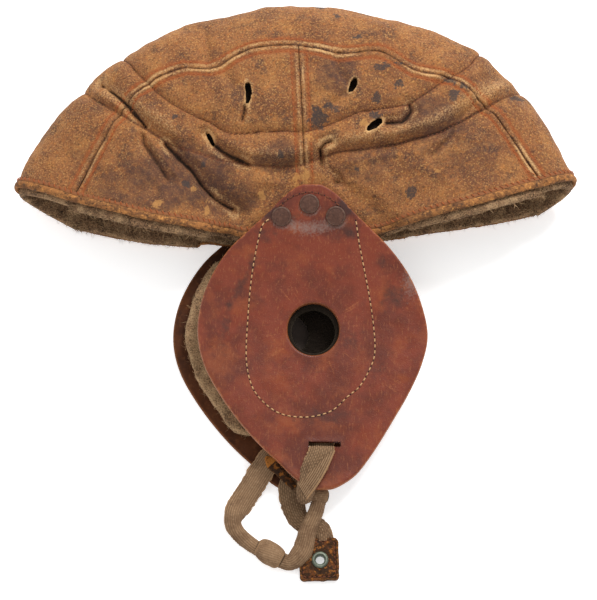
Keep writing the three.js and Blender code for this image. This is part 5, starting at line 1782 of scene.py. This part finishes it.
    def pad(self, shop: Workshop) -> None:
        """Make the felt pad on the flap's inner face, with its loose fibres."""
        counts = (220, 30)
        x, y, inner_edge, outer_edge, _ = self.rosette(
            self.pad_inset + 0.4, self.pad_top, self.pad_bottom, self.pad_radius, counts, self.pad_round)
        edge = np.minimum(inner_edge, outer_edge)
        wander = sheet_noise(x, y, ((7, 0.9), (3, 0.5)), 101)
        lumps = sheet_noise(x, y, PAD_LUMPS, 103)
        fibre = 0.6 + sheet_noise(x, y, ((4, 0.3),), 104)
        away = np.stack([x - self.ear_x, y - self.ear_y], -1)
        away = unit(away) * (wander * smooth_step(6, 0, outer_edge))[..., None] * 0.8
        x, y = x + away[..., 0], y + away[..., 1]
        worn = np.clip(self.pad_round - edge, 0, self.pad_round)
        round_off = self.pad_round - np.sqrt(np.clip(self.pad_round ** 2 - worn ** 2, 0, None))
        lift = -(GAP + PAD_FELT) if self.out > 0 else FLAP_LEATHER + GAP
        base = self.under(y) + lift
        high = self.placed(x, y, base + PAD_FELT - 0.1 - round_off + lumps * (1 if self.out < 0 else 0.2))
        low = self.placed(x, y, base + round_off * 0.8 + lumps * (0 if self.out < 0 else 0.8))
        # Painted shade on the pad round the ear hole, where it shows through; no loose fibres there.
        under_hole = np.hypot(x + self.shift_x - self.ear_x, y + self.shift_y - self.ear_y - 3)
        ear_hole_shade_reach = 24
        ear_hole_shade = 1 - smooth_step(18, ear_hole_shade_reach, under_hole)
        marks = {"fibre": fibre * (1 - ear_hole_shade), "cavity": ear_hole_shade}
        solid = shell(high, low, None, marks, ring=True)
        felt = shop.piece(f"{self.name}_pad_felt", solid, WOOL_FELT, Slot.FELT,
                          (f"{self.name}_flap_pad",), 80)
        rim = outer_edge < 3.0
        open_face = under_hole > ear_hole_shade_reach
        face = high if self.out < 0 else low
        upward = np.zeros_like(face)
        upward[..., 2] = 1.0 if self.out < 0 else -1.0
        outward = unit(np.stack([x - self.ear_x, y - self.ear_y, upward[..., 2]], -1))
        loose = fibres(((high + low) / 2)[rim], outward[rim], count=1300, length=2.4,
                       seed=107 + self.out, stand=0.6)
        loose = loose.joined(fibres(face[open_face], upward[open_face], count=1100, length=3.4,
                                    seed=109 + self.out, stand=0.4))
        shop.piece(f"{self.name}_pad_fibres", loose, WOOL_FELT, Slot.FELT)

    def rivet_frame(self, x: float, y: float) -> tuple:
        """Give a rivet's seat on the outer face and its outward, sideways and forward directions."""
        rise = float(self.under(y + 1) - self.under(y - 1))
        outward = unit(np.array([0.0, -self.out * rise / 2, self.out]))
        z = float(self.under(y)) + (FLAP_LEATHER if self.out > 0 else 0.0)
        side = unit(np.cross([0.0, 1.0, 0.0], outward))
        return self.placed(np.array(x), np.array(y), np.array(z)), outward, side, np.cross(outward, side)

    def heads(self, shop: Workshop) -> None:
        """Make the three rivets, each with its flat head and shank."""
        inner = -(FLAP_LEATHER + LEATHER + GAP)
        profile = ((0, inner), (1.8, inner), (1.8, GAP), (4.6, GAP - 0.1), (5.0, GAP + 0.15),
                   (5.0, GAP + 0.7), (4.7, GAP + 1.05), (4.2, GAP + 1.2), (3.9, GAP + 1.12),
                   (3.5, GAP + 1.18), (2.4, GAP + 1.3), (1.2, GAP + 1.36), (0.001, GAP + 1.38))
        face = GAP + 0.5
        for number, (x, y) in enumerate(self.rivets, 1):
            body = turned(profile, 48)
            seat, outward, side, forward = self.rivet_frame(x, y)
            radius = np.hypot(body.points[:, 0], body.points[:, 1])
            dents = rough(body.points + number * 40, ((2.2, 0.12), (0.9, 0.05)), 113)
            body.points[:, 2] += dents * (body.points[:, 2] > face)
            top = body.points[:, 2] > face
            # Painted shade in the groove round the head.
            body.marks = {"rub": np.where(top, 0.8 * bell(radius - 4.6, 0.4), 0.4),
                          "cavity": 0.6 * top * bell(radius - 3.9, 0.25)}
            local = body.points
            body.points = seat + local[:, 0:1] * side + local[:, 1:2] * forward + local[:, 2:3] * outward
            shop.piece(f"{self.name}_rivet_{number}_brass", body, RIVET_BRASS, Slot.RIVET,
                       (f"{self.name}_rivet_{number}",), 35)

    def sewing(self, shop: Workshop) -> None:
        """Sew the cream and brown stitch lines, with a dark dot of painted shade for an awl hole at each
        stitch's end.
        """
        holes = []
        lines = ((self.stitch_path, CREAM_THREAD, "cream"), (self.crown_path, BROWN_THREAD, "brown"))
        for path, finish, label in lines:
            x, y = self.smooth_path(np.array(path)).T
            z = self.under(y) + (FLAP_LEATHER if self.out > 0 else 0.0)
            if self.out > 0:
                z = z + sheet_noise(x, y, FLAP_WARP, FLAP_WARP_SEED)
            middles, run, _ = walked(self.placed(x, y, z), FLAP_THREAD.pitch)
            up = unit(np.cross(run, np.cross([0.0, 0.0, float(self.out)], run)))
            sewn = stitches(middles, run, up, FLAP_THREAD)
            ends = middles + run * FLAP_THREAD.pitch / 2
            holes.append(stitches(ends - up * 0.2, run, up, AWL_DOTS))
            shop.piece(f"{self.name}_flap_{label}_stitches", sewn, finish, Slot.FLAP)
        shop.piece(f"{self.name}_flap_awl_hole_shade", reduce(Solid.joined, holes), AWL_HOLE_SHADE, Slot.FLAP)

    @staticmethod
    def smooth_path(path: np.ndarray) -> np.ndarray:
        """Draw a smooth line through a path's places."""
        length = run_length(path)
        at = np.linspace(0, length[-1], 500)
        return np.stack([smooth_value(length, path[:, k], at) for k in range(2)], -1)


@dataclass(frozen=True)
class Run:
    """A run of webbing.

    Attributes:
        name: The strap's node.
        stations: Rows of x, y, z of its middle, its roll in degrees and its width.
        weave: How coarse its herringbone weave is in millimetres.
        height: How deep the weave is.
        soil: How dirty it is.
    """

    name: str
    stations: tuple
    weave: float = 1.3
    height: float = 0.1
    soil: float = 0.15


RUNS = (
    Run("slot_strap", (
        (11.7, -71.4, 14.5, 0, 12.9), (11.7, -75.0, 14.2, 0, 12.9), (11.7, -76.9, 15.4, 0, 12.9),
        (11.7, -77.3, 17.6, 0, 13), (11.7, -77.8, 19.2, 0, 13), (11.5, -79.4, 20.0, 0, 13),
        (10.3, -82.8, 19.8, 0, 12.8), (7.2, -88.6, 18.6, 0, 11.8), (5.0, -94, 17.4, 0, 9.4),
        (3.8, -98.4, 16.4, 0, 8), (3.2, -101.6, 15.6, 0, 7.2), (3.2, -103.2, 13.2, 0, 6),
    ), weave=1.9, height=0.24),
    Run("chin_strap_aft", (
        (10.6, -101.0, 8.4, 0, 5.5), (9.8, -104.3, 8, 0, 5.5), (8.6, -108.2, 6.6, 0, 6),
        (6.9, -112, 5.4, 0, 6.6), (5.3, -115.5, 4.8, 0, 7.2), (4.2, -119, 5.2, 0, 7.8),
        (3.3, -123, 5.4, 0, 8.4), (1.8, -127.4, 5.7, 0, 8.6), (-1.2, -131.2, 5.4, 0, 8),
        (-4.3, -133, 3.8, 0, 7), (-7.2, -132.4, 3.4, 0, 6.6), (-10.0, -131.2, 3.8, 0, 6.2),
    )),
    Run("chin_strap_fore", (
        (-18.6, -126.8, 4.0, 0, 5.6), (-21.4, -125.4, 3.6, 0, 5.3), (-24.2, -123.4, 2.8, 5, 5.4),
        (-27.8, -120.4, 2.8, 14, 5.8), (-30.8, -117, 3.1, 25, 6.4), (-32.4, -112.8, 3.7, 34, 7.8),
        (-31.4, -107.4, 3.6, 24, 10.4), (-28, -101.2, 2.6, 8, 12), (-22, -92.1, 5, 0, 12.2),
        (-17, -84.6, 6.4, 0, 12.2),
        (-12.4, -78.6, 7, 0, 12.2), (-9.4, -75.2, 7.2, 0, 12.2),
    )),
    Run("tab_strap", (
        (-0.3, -74.1, 0.5, 0, 12.4), (-0.3, -74.2, 2.6, 0, 12.4), (-0.3, -74.6, 4.2, 0, 12.4),
        (-0.3, -76.2, 5, 0, 12.4), (-1, -79.5, 4.4, 0, 12.4), (-2.6, -88, 4.2, 0, 12.4),
        (-3.8, -95.5, 4.2, 0, 12.4), (-3.4, -99.5, 3.6, 0, 12.2), (-2.2, -105, 1.6, 0, 11.6),
        (0, -109.8, 1.2, 0, 10), (4, -112.8, 1.2, 0, 9.4), (8.4, -114.2, 1.3, 0, 9.4),
        (11.4, -116.4, 1.6, 0, 9), (12.2, -119.6, 2, 0, 9), (12.4, -122.2, 2, 0, 9),
    ), weave=1.8, height=0.2, soil=0.4),
)


@dataclass
class Straps:
    """The webbing chin strap in its runs, its knots, and the leather strip beside it.

    Attributes:
        ribs: How many ribs lie side by side in the webbing.
        rib_height: How high a rib stands.
        rib_pitch: From one rib to the next where it is knotted or folded.
        half_thick: Half the webbing's thickness.
        across: How many steps across the webbing.
        spacing: The length of a step along it.
    """

    ribs: int = 12
    rib_height: float = 0.2
    rib_pitch: float = 1.05
    half_thick: float = 0.55
    across: int = 60
    spacing: float = 0.6

    def build(self, shop: Workshop) -> None:
        """Make every run and knot."""
        for run in RUNS:
            solid = self.webbing(run)
            if run.name == "slot_strap":
                solid = solid.joined(self.folded_end())
            shop.piece(f"{run.name}_webbing", solid, COTTON_WEBBING, Slot.WEBBING, (run.name,), 60)
        self.knot(shop, "slot_strap_knot", (10.4, -99.9, 8.6), (10.0, 8.2, 7.8), -8, 5)
        self.knot(shop, "chin_strap_knot", (-14.4, -128.6, 4.6), (15.6, 11.6, 9.0), -28, 9)
        self.strip(shop)

    @staticmethod
    def ribbon(path: np.ndarray, roll: np.ndarray) -> tuple:
        """Give the sideways and upward directions along a path."""
        run = unit(np.gradient(path, axis=0))
        level = unit(np.stack([-run[:, 1], run[:, 0], np.zeros(len(run))], -1))
        turn = np.radians(roll)[:, None]
        across = level * np.cos(turn) + np.cross(run, level) * np.sin(turn)
        return across, np.cross(run, across)

    def webbing(self, run: Run) -> Solid:
        """Weave one run: its ribs, its weave and its frayed selvedges."""
        table = np.array(run.stations, float)
        length = run_length(table[:, :3])
        at = np.linspace(0, length[-1], max(int(length[-1] / self.spacing), 12))
        x, y, z, roll, width = (smooth_value(length, table[:, k], at) for k in range(5))
        path = np.stack([x, y, z], -1)
        across, up = self.ribbon(path, roll)
        share = np.clip(width / WEBBING_WIDTH, 0.4, 0.995)
        table_angle = np.linspace(0.05, 2.2, 300)
        curl = np.interp(-share, -np.sin(table_angle) / table_angle, table_angle)
        radius = WEBBING_WIDTH / 2 / curl
        v = np.linspace(-1, 1, self.across)
        angle = curl[:, None] * v[None]
        rib = np.abs(np.sin(v * np.pi * self.ribs / 2))[None]
        row = np.floor((v + 1) / 2 * self.ribs)
        phase = 2 * np.pi * at[:, None] / run.weave + np.pi * (row % 2)[None]
        weave = run.height * np.sin(phase) * rib
        along, beside = np.meshgrid(at, v * WEBBING_WIDTH / 2, indexing="ij")
        rumple = sheet_noise(along, beside, ((9, 0.3), (3, 0.12)), 121)
        edge = bell(1 - np.abs(v), 0.1)[None]
        fray = sheet_noise(along, beside, ((1.3, 0.45),), 123) * edge
        height = self.rib_height * rib + weave + rumple * (1 - 0.4 * edge)
        sink = (np.cos(angle) - (1 + np.cos(curl[:, None])) / 2) * radius[:, None]

        def face(lift: np.ndarray) -> np.ndarray:
            """Give the webbing's face at a height over its middle."""
            reach = radius[:, None] + lift
            side = np.sin(angle) * reach + fray
            return (path[:, None] + across[:, None] * side[..., None]
                    + up[:, None] * (sink + np.cos(angle) * lift)[..., None])

        outer = face(self.half_thick + height)
        inner = face(-self.half_thick + rumple * (1 - 0.4 * edge) - 0.1 * rib)
        # Painted shade between the ribs and in the low parts of the weave.
        low = 0.26 * (1 - np.sin(phase)) * rib * (run.height > 0.15)
        marks = {"rub": np.clip(0.9 * edge, 0, 1),
                 "cavity": np.clip(0.75 * (1 - rib) ** 1.3 * (1 - edge) + low, 0, 1),
                 "soil": np.clip(run.soil + 0.25 * rumple, 0, 1)}
        return shell(outer, inner, None, marks)

    def folded_end(self) -> Solid:
        """Weave the end of the slot strap that is folded back over it as a triangle."""
        left = np.array([(17.4, -79.4, 22.2), (11.6, -85.0, 22.6), (5.6, -90.8, 21.8), (-0.2, -96.4, 20.2)])
        right = np.array([(18.4, -79.8, 21.8), (15.2, -87.2, 21.8), (10.9, -95.0, 20.4), (4.2, -103.8, 17.4)])
        count = 60
        at = np.linspace(0, 1, count)
        keys = np.linspace(0, 1, 4)
        first = np.stack([smooth_value(keys, left[:, k], at) for k in range(3)], -1)
        last = np.stack([smooth_value(keys, right[:, k], at) for k in range(3)], -1)
        v = np.linspace(0, 1, 44)
        width = np.linalg.norm(last - first, axis=1)
        from_right = width[:, None] * (1 - v)[None]
        rib = np.abs(np.sin(from_right * np.pi / self.rib_pitch))
        middle = first[:, None] + (last - first)[:, None] * v[None, :, None]
        bow = 0.9 * np.sin(np.pi * v)[None] * np.minimum(width / 6, 1)[:, None]
        outer, inner = middle.copy(), middle.copy()
        outer[..., 2] += 0.28 * rib + bow
        inner[..., 2] += bow - 2 * self.half_thick
        edge = bell(from_right, 0.8)
        # Painted shade between the ribs of the folded end.
        marks = {"rub": edge + 0.5 * bell(v, 0.08), "cavity": 0.95 * (1 - rib) ** 1.3 * (1 - edge),
                 "soil": 0.05}
        return shell(outer, inner, None, marks)

    def knot(self, shop: Workshop, node: str, place: tuple, size: tuple, turn: float,
             seed: int) -> None:
        """Tie a knot: ribbed webbing pulled plump over itself, with painted shade at the ends where the strap
        goes in.

        Args:
            shop: The workshop.
            node: The node that it stands for.
            place: Its middle.
            size: Its length, width and height.
            turn: Its heading in degrees.
            seed: Which lumps.
        """
        u, angle = np.meshgrid(np.linspace(-1, 1, 64), round_angles(128), indexing="ij")
        slant = u + 0.14 * np.sin(angle + 0.6) * (1 - u ** 2)
        body = np.clip(1.001 - np.abs(u) ** 7, 0, 1) ** 0.42
        plump = 0.82 + 0.18 * np.cos(slant * 1.9)
        x = u * size[0] / 2
        barrel = np.stack([x, np.cos(angle) * size[1] / 2, np.sin(angle) * size[2] / 2], -1)
        lumps = rough(barrel.reshape(-1, 3), ((7, 0.1), (3, 0.05)), seed + 130).reshape(u.shape)
        turns = (size[1] + size[2]) * math.pi / 4 / self.rib_pitch
        rib = np.abs(np.sin(round(turns) * angle + 3.5 * slant))
        radial = body * (plump + lumps) + 0.035 * rib * body
        y = np.cos(angle) * radial * size[1] / 2
        z = np.sin(angle) * radial * size[2] / 2
        way = math.radians(turn)
        rings = np.stack([place[0] + x * math.cos(way) - y * math.sin(way),
                          place[1] + x * math.sin(way) + y * math.cos(way), place[2] + z], -1)
        # Painted shade between the ribs and at the ends where the strap goes in, in both the cavity and the
        # soil marks.
        ends = smooth_step(0.86, 1.0, np.abs(u))
        marks = {"rub": 0.7 * bell(np.abs(u) - 0.84, 0.06),
                 "cavity": np.clip(0.55 * (1 - rib) ** 1.3 + ends, 0, 1), "soil": 0.15 + 0.4 * ends}
        shop.piece(f"{node}_webbing", loft(rings, marks), COTTON_WEBBING, Slot.WEBBING, (node,), 50)

    def strip(self, shop: Workshop) -> None:
        """Make the dark leather strip and its bare torn end."""
        stations = np.array([(-16.4, -80.2, 8.6, 1.6), (-13.6, -83.2, 8.7, 6.6), (-10.8, -86.4, 8.5, 5.2),
                             (-6, -91.3, 7.4, 4.2), (-2, -95.6, 6.4, 3.4)])
        along, across_count, split, half_thick = 70, 16, 22, 0.7
        keys = np.arange(float(len(stations)))
        at = np.linspace(0, keys[-1], along)
        x, y, z, width = (smooth_value(keys, stations[:, k], at) for k in range(4))
        path = np.stack([x, y, z], -1)
        across, up = self.ribbon(path, np.zeros(len(at)))
        v = np.linspace(-1, 1, across_count)
        far, beside = np.meshgrid(at * 5, v * 3, indexing="ij")
        ragged = sheet_noise(far, beside, ((1.6, 0.5),), 141)
        lump = sheet_noise(far, beside, ((2.2, 0.25),), 142)
        side = (width[:, None] / 2 * v[None]) + ragged * np.abs(v)[None] ** 3
        round_off = 0.5 * np.abs(v)[None] ** 4
        base = path[:, None] + across[:, None] * side[..., None]
        outer = base + up[:, None] * (half_thick + lump - round_off)[..., None]
        inner = base - up[:, None] * (half_thick - round_off)[..., None]
        worn = {"rub": 0.6 * bell(1 - np.abs(v), 0.2), "cavity": 0.0}
        shop.piece("anchor_strip_torn_end", shell(outer[:split], inner[:split]), TORN_LEATHER, Slot.TAB)
        shop.piece("anchor_strip_leather", shell(outer[split - 1:], inner[split - 1:], None, worn),
                   CRACKED_LEATHER, Slot.TAB, ("anchor_strip",))


@dataclass
class LeatherTab:
    """The button tab: two layers of cracked leather, a stitched border and a brass eyelet."""

    x: float = 10.2
    y: float = -131.4
    wide: float = 20.0
    long: float = 21.6
    tall: float = 4.0
    corner: float = 2.6
    turn: float = 2.0
    bore: float = 3.1
    seam_inset: float = 1.9
    steps: int = 220

    def build(self, shop: Workshop) -> None:
        """Make the tab, its border stitches and its eyelet."""
        angle = round_angles(self.steps)
        way = angle - math.radians(self.turn)
        border = self.border(way)
        ring = np.stack([EYELET_X + np.cos(angle) * self.bore, EYELET_Y + np.sin(angle) * self.bore], -1)
        rim = np.array([0, 0.1, 0.3, 0.6, 1.0])
        span = np.hypot(*(border - ring).T)[:, None]
        away = np.concatenate([np.tile(rim, (self.steps, 1)),
                               1.0 + (span - 2.0) * np.linspace(0, 1, 20)[None, 1:-1],
                               span - rim[::-1][None]], axis=1)
        place = ring[:, None] + (border - ring)[:, None] * (away / span)[..., None]
        outer_edge = span - away
        edge = np.minimum(away, outer_edge)
        x, y = place[..., 0], place[..., 1]
        wander = sheet_noise(x, y, ((5, 0.35), (2, 0.2)), 151)
        buckle = sheet_noise(x, y, ((8, 0.35), (2.6, 0.15)), 153)
        place = place + unit(place - np.array([self.x, self.y])) * (wander * bell(outer_edge, 2))[..., None]
        round_off = 1.0 - np.sqrt(np.clip(1 - np.clip(1 - edge, 0, 1) ** 2, 0, 1))
        from_seam = outer_edge - self.seam_inset
        high = self.tall - round_off + buckle * smooth_step(0, 2, edge) - 0.35 * bell(from_seam, 0.6)
        low = 0.15 + round_off * 0.8
        outer = np.concatenate([place, high[..., None]], -1)
        inner = np.concatenate([place, low[..., None]], -1)
        rub = np.clip(0.6 * bell(outer_edge - 0.6, 0.8) + 0.7 * bell(
            np.hypot(place[..., 0] - self.x + 6, place[..., 1] - self.y - 1) / 4, 1), 0, 1)
        # Painted shade along the sunk stitch line and at the outer edge.
        cavity = np.clip(0.8 * bell(from_seam, 0.5) + 0.4 * bell(outer_edge, 0.4), 0, 1)
        solid = shell(outer, inner, None, {"rub": rub, "cavity": cavity}, ring=True)
        shop.piece("button_tab_leather", solid, CRACKED_LEATHER, Slot.TAB, ("leather_tab",), 50)
        inset = self.border(way, self.seam_inset)
        line = np.vstack([inset, inset[:1]])
        path = np.concatenate([line, np.full((len(line), 1), self.tall - 0.3)], -1)
        middles, run, _ = walked(path, TAB_THREAD.pitch)
        up = np.tile([0.0, 0.0, 1.0], (len(middles), 1))
        shop.piece("button_tab_stitches", stitches(middles, run, up, TAB_THREAD), BROWN_THREAD, Slot.TAB)
        self.eyelet(shop)

    def border(self, way: np.ndarray, inset: float = 0.0) -> np.ndarray:
        """Give the tab's rounded border as seen from the eyelet.

        Args:
            way: Directions from the eyelet, in the tab's own heading.
            inset: How far inside the border.

        Returns:
            Rows of x, y.
        """
        half = np.array([self.wide / 2 - inset, self.long / 2 - inset])
        corner = max(self.corner - inset * 0.5, 0.6)
        start = np.array([EYELET_X - self.x, EYELET_Y - self.y])
        ray = np.stack([np.cos(way), np.sin(way)], -1)
        low, high = np.zeros(len(way)), np.full(len(way), 30.0)
        for _ in range(30):
            middle = (low + high) / 2
            q = np.abs(start + ray * middle[:, None]) - (half - corner)
            outside = np.hypot(*np.maximum(q, 0).T) + np.minimum(q.max(axis=1), 0) - corner > 0
            high = np.where(outside, middle, high)
            low = np.where(outside, low, middle)
        place = start + ray * low[:, None]
        c, s = math.cos(math.radians(self.turn)), math.sin(math.radians(self.turn))
        turned_place = np.stack([place[:, 0] * c - place[:, 1] * s, place[:, 0] * s + place[:, 1] * c], -1)
        return turned_place + np.array([self.x, self.y])

    def eyelet(self, shop: Workshop) -> None:
        """Turn the eyelet with its rolled lip."""
        seat = self.tall + GAP
        profile = ((2.2, GAP), (2.8, GAP), (2.8, seat), (4.1, seat - 0.05), (4.2, seat + 0.15),
                   (4.05, seat + 0.4), (3.7, seat + 0.62), (3.25, seat + 0.76), (2.8, seat + 0.74),
                   (2.45, seat + 0.55), (2.25, seat + 0.2), (2.2, seat - 0.5), (2.2, GAP))
        body = turned(profile, 56)
        dents = rough(body.points, ((1.6, 0.05), (0.7, 0.03)), 161)
        body.points[:, 2] += dents
        radius = np.hypot(body.points[:, 0], body.points[:, 1])
        body.marks = {"rub": bell(radius - 3.3, 0.4)}
        body.points[:, 0] += EYELET_X
        body.points[:, 1] += EYELET_Y
        shop.piece("tab_eyelet_brass", body, VERDIGRIS_BRASS, Slot.EYELET, ("tab_eyelet",), 50)


@dataclass
class Studio:
    """The white floor, the soft light and the camera.

    Attributes:
        height: The camera's angle over the floor in degrees.
        distance: Its distance from the helmet in metres.
        focal: Its lens in millimetres on a 36 mm sensor.
        target: What it looks at, in the part's frame.
        air: How strong the even light from all round is.
    """

    height: float = 75.0
    distance: float = 1.3
    focal: float = 152.9
    target: tuple = (0.001569, -0.004636, 0.015)
    air: float = 0.62

    def build(self, shop: Workshop) -> None:
        """Set up the floor, the lights, the world and the camera."""
        self.floor(shop)
        self.lights()
        self.world()
        self.camera()

    @staticmethod
    def floor(shop: Workshop) -> None:
        """Lay the acrylic sheet out to well past the picture, with a dark card in it below the ear holes as
        painted shade.
        """
        reach, card, sides = 2.0, 0.017, 48
        below_holes = np.array([-5.8, -16.2])
        middle = (below_holes + SHIFT[:2]) * MM
        angle = round_angles(sides)
        circle = np.stack([np.cos(angle), np.sin(angle)], -1)
        ring = np.vstack([middle + circle * card, middle + circle * reach])
        points = [(float(x), float(y), 0.0) for x, y in ring]
        sheet = [(k, sides + k, sides + (k + 1) % sides, (k + 1) % sides) for k in range(sides)]
        for name, faces, finish in (("acrylic_sheet", sheet, STUDIO_ACRYLIC),
                                    ("painted_shade_card", [tuple(range(sides))], SHADE_CARD)):
            mesh = bpy.data.meshes.new(name)
            mesh.from_pydata(points, [], faces)
            mesh.materials.append(shop.material(finish))
            sheet_piece = bpy.data.objects.new(name, mesh)
            bpy.context.scene.collection.objects.link(sheet_piece)

    @staticmethod
    def lights() -> None:
        """Hang large soft lights, the strongest from the upper right."""
        places = (
            ("key_light", (0.45, 0.85, 1.1), 0.6, 18.0),
            ("fill_light", (-0.9, 0.3, 1.2), 1.2, 4.0),
            ("front_light", (0.1, -1.1, 0.9), 1.0, 1.5),
        )
        for name, place, size, power in places:
            lamp = bpy.data.lights.new(name, "AREA")
            lamp.shape = "DISK"
            lamp.size = size
            lamp.energy = power
            holder = bpy.data.objects.new(name, lamp)
            holder.location = place
            aim = Vector((0.0, 0.0, 0.02)) - Vector(place)
            holder.rotation_euler = aim.to_track_quat("-Z", "Y").to_euler()
            bpy.context.scene.collection.objects.link(holder)

    def world(self) -> None:
        """Light the studio evenly from all round."""
        world = bpy.data.worlds.new("studio_air")
        world.use_nodes = True
        background = world.node_tree.nodes["Background"]
        background.inputs["Color"].default_value = linear("#ffffff")
        background.inputs["Strength"].default_value = self.air
        bpy.context.scene.world = world

    def camera(self) -> None:
        """Set the camera at the photograph's angle and distance."""
        lens = bpy.data.cameras.new("studio_camera")
        lens.lens = self.focal
        lens.sensor_width = 36.0
        camera = bpy.data.objects.new("studio_camera", lens)
        way = math.radians(self.height)
        target = Vector(self.target)
        camera.location = target + Vector((0.0, -math.cos(way), math.sin(way))) * self.distance
        camera.rotation_euler = (target - camera.location).to_track_quat("-Z", "Y").to_euler()
        bpy.context.scene.collection.objects.link(camera)
        bpy.context.scene.camera = camera


def main() -> None:
    """Build the helmet's pieces and the studio."""
    logging.basicConfig(level=logging.INFO, format="%(message)s")
    bpy.context.scene.view_settings.view_transform = "Standard"
    shop = Workshop()
    CrownShell().build(shop)
    EarFlap("left", 1).build(shop)
    EarFlap("right", -1, RIGHT_SHIFT_X, RIGHT_SHIFT_Y).build(shop)
    Straps().build(shop)
    LeatherTab().build(shop)
    Studio().build(shop)


if __name__ == "__main__":
    main()
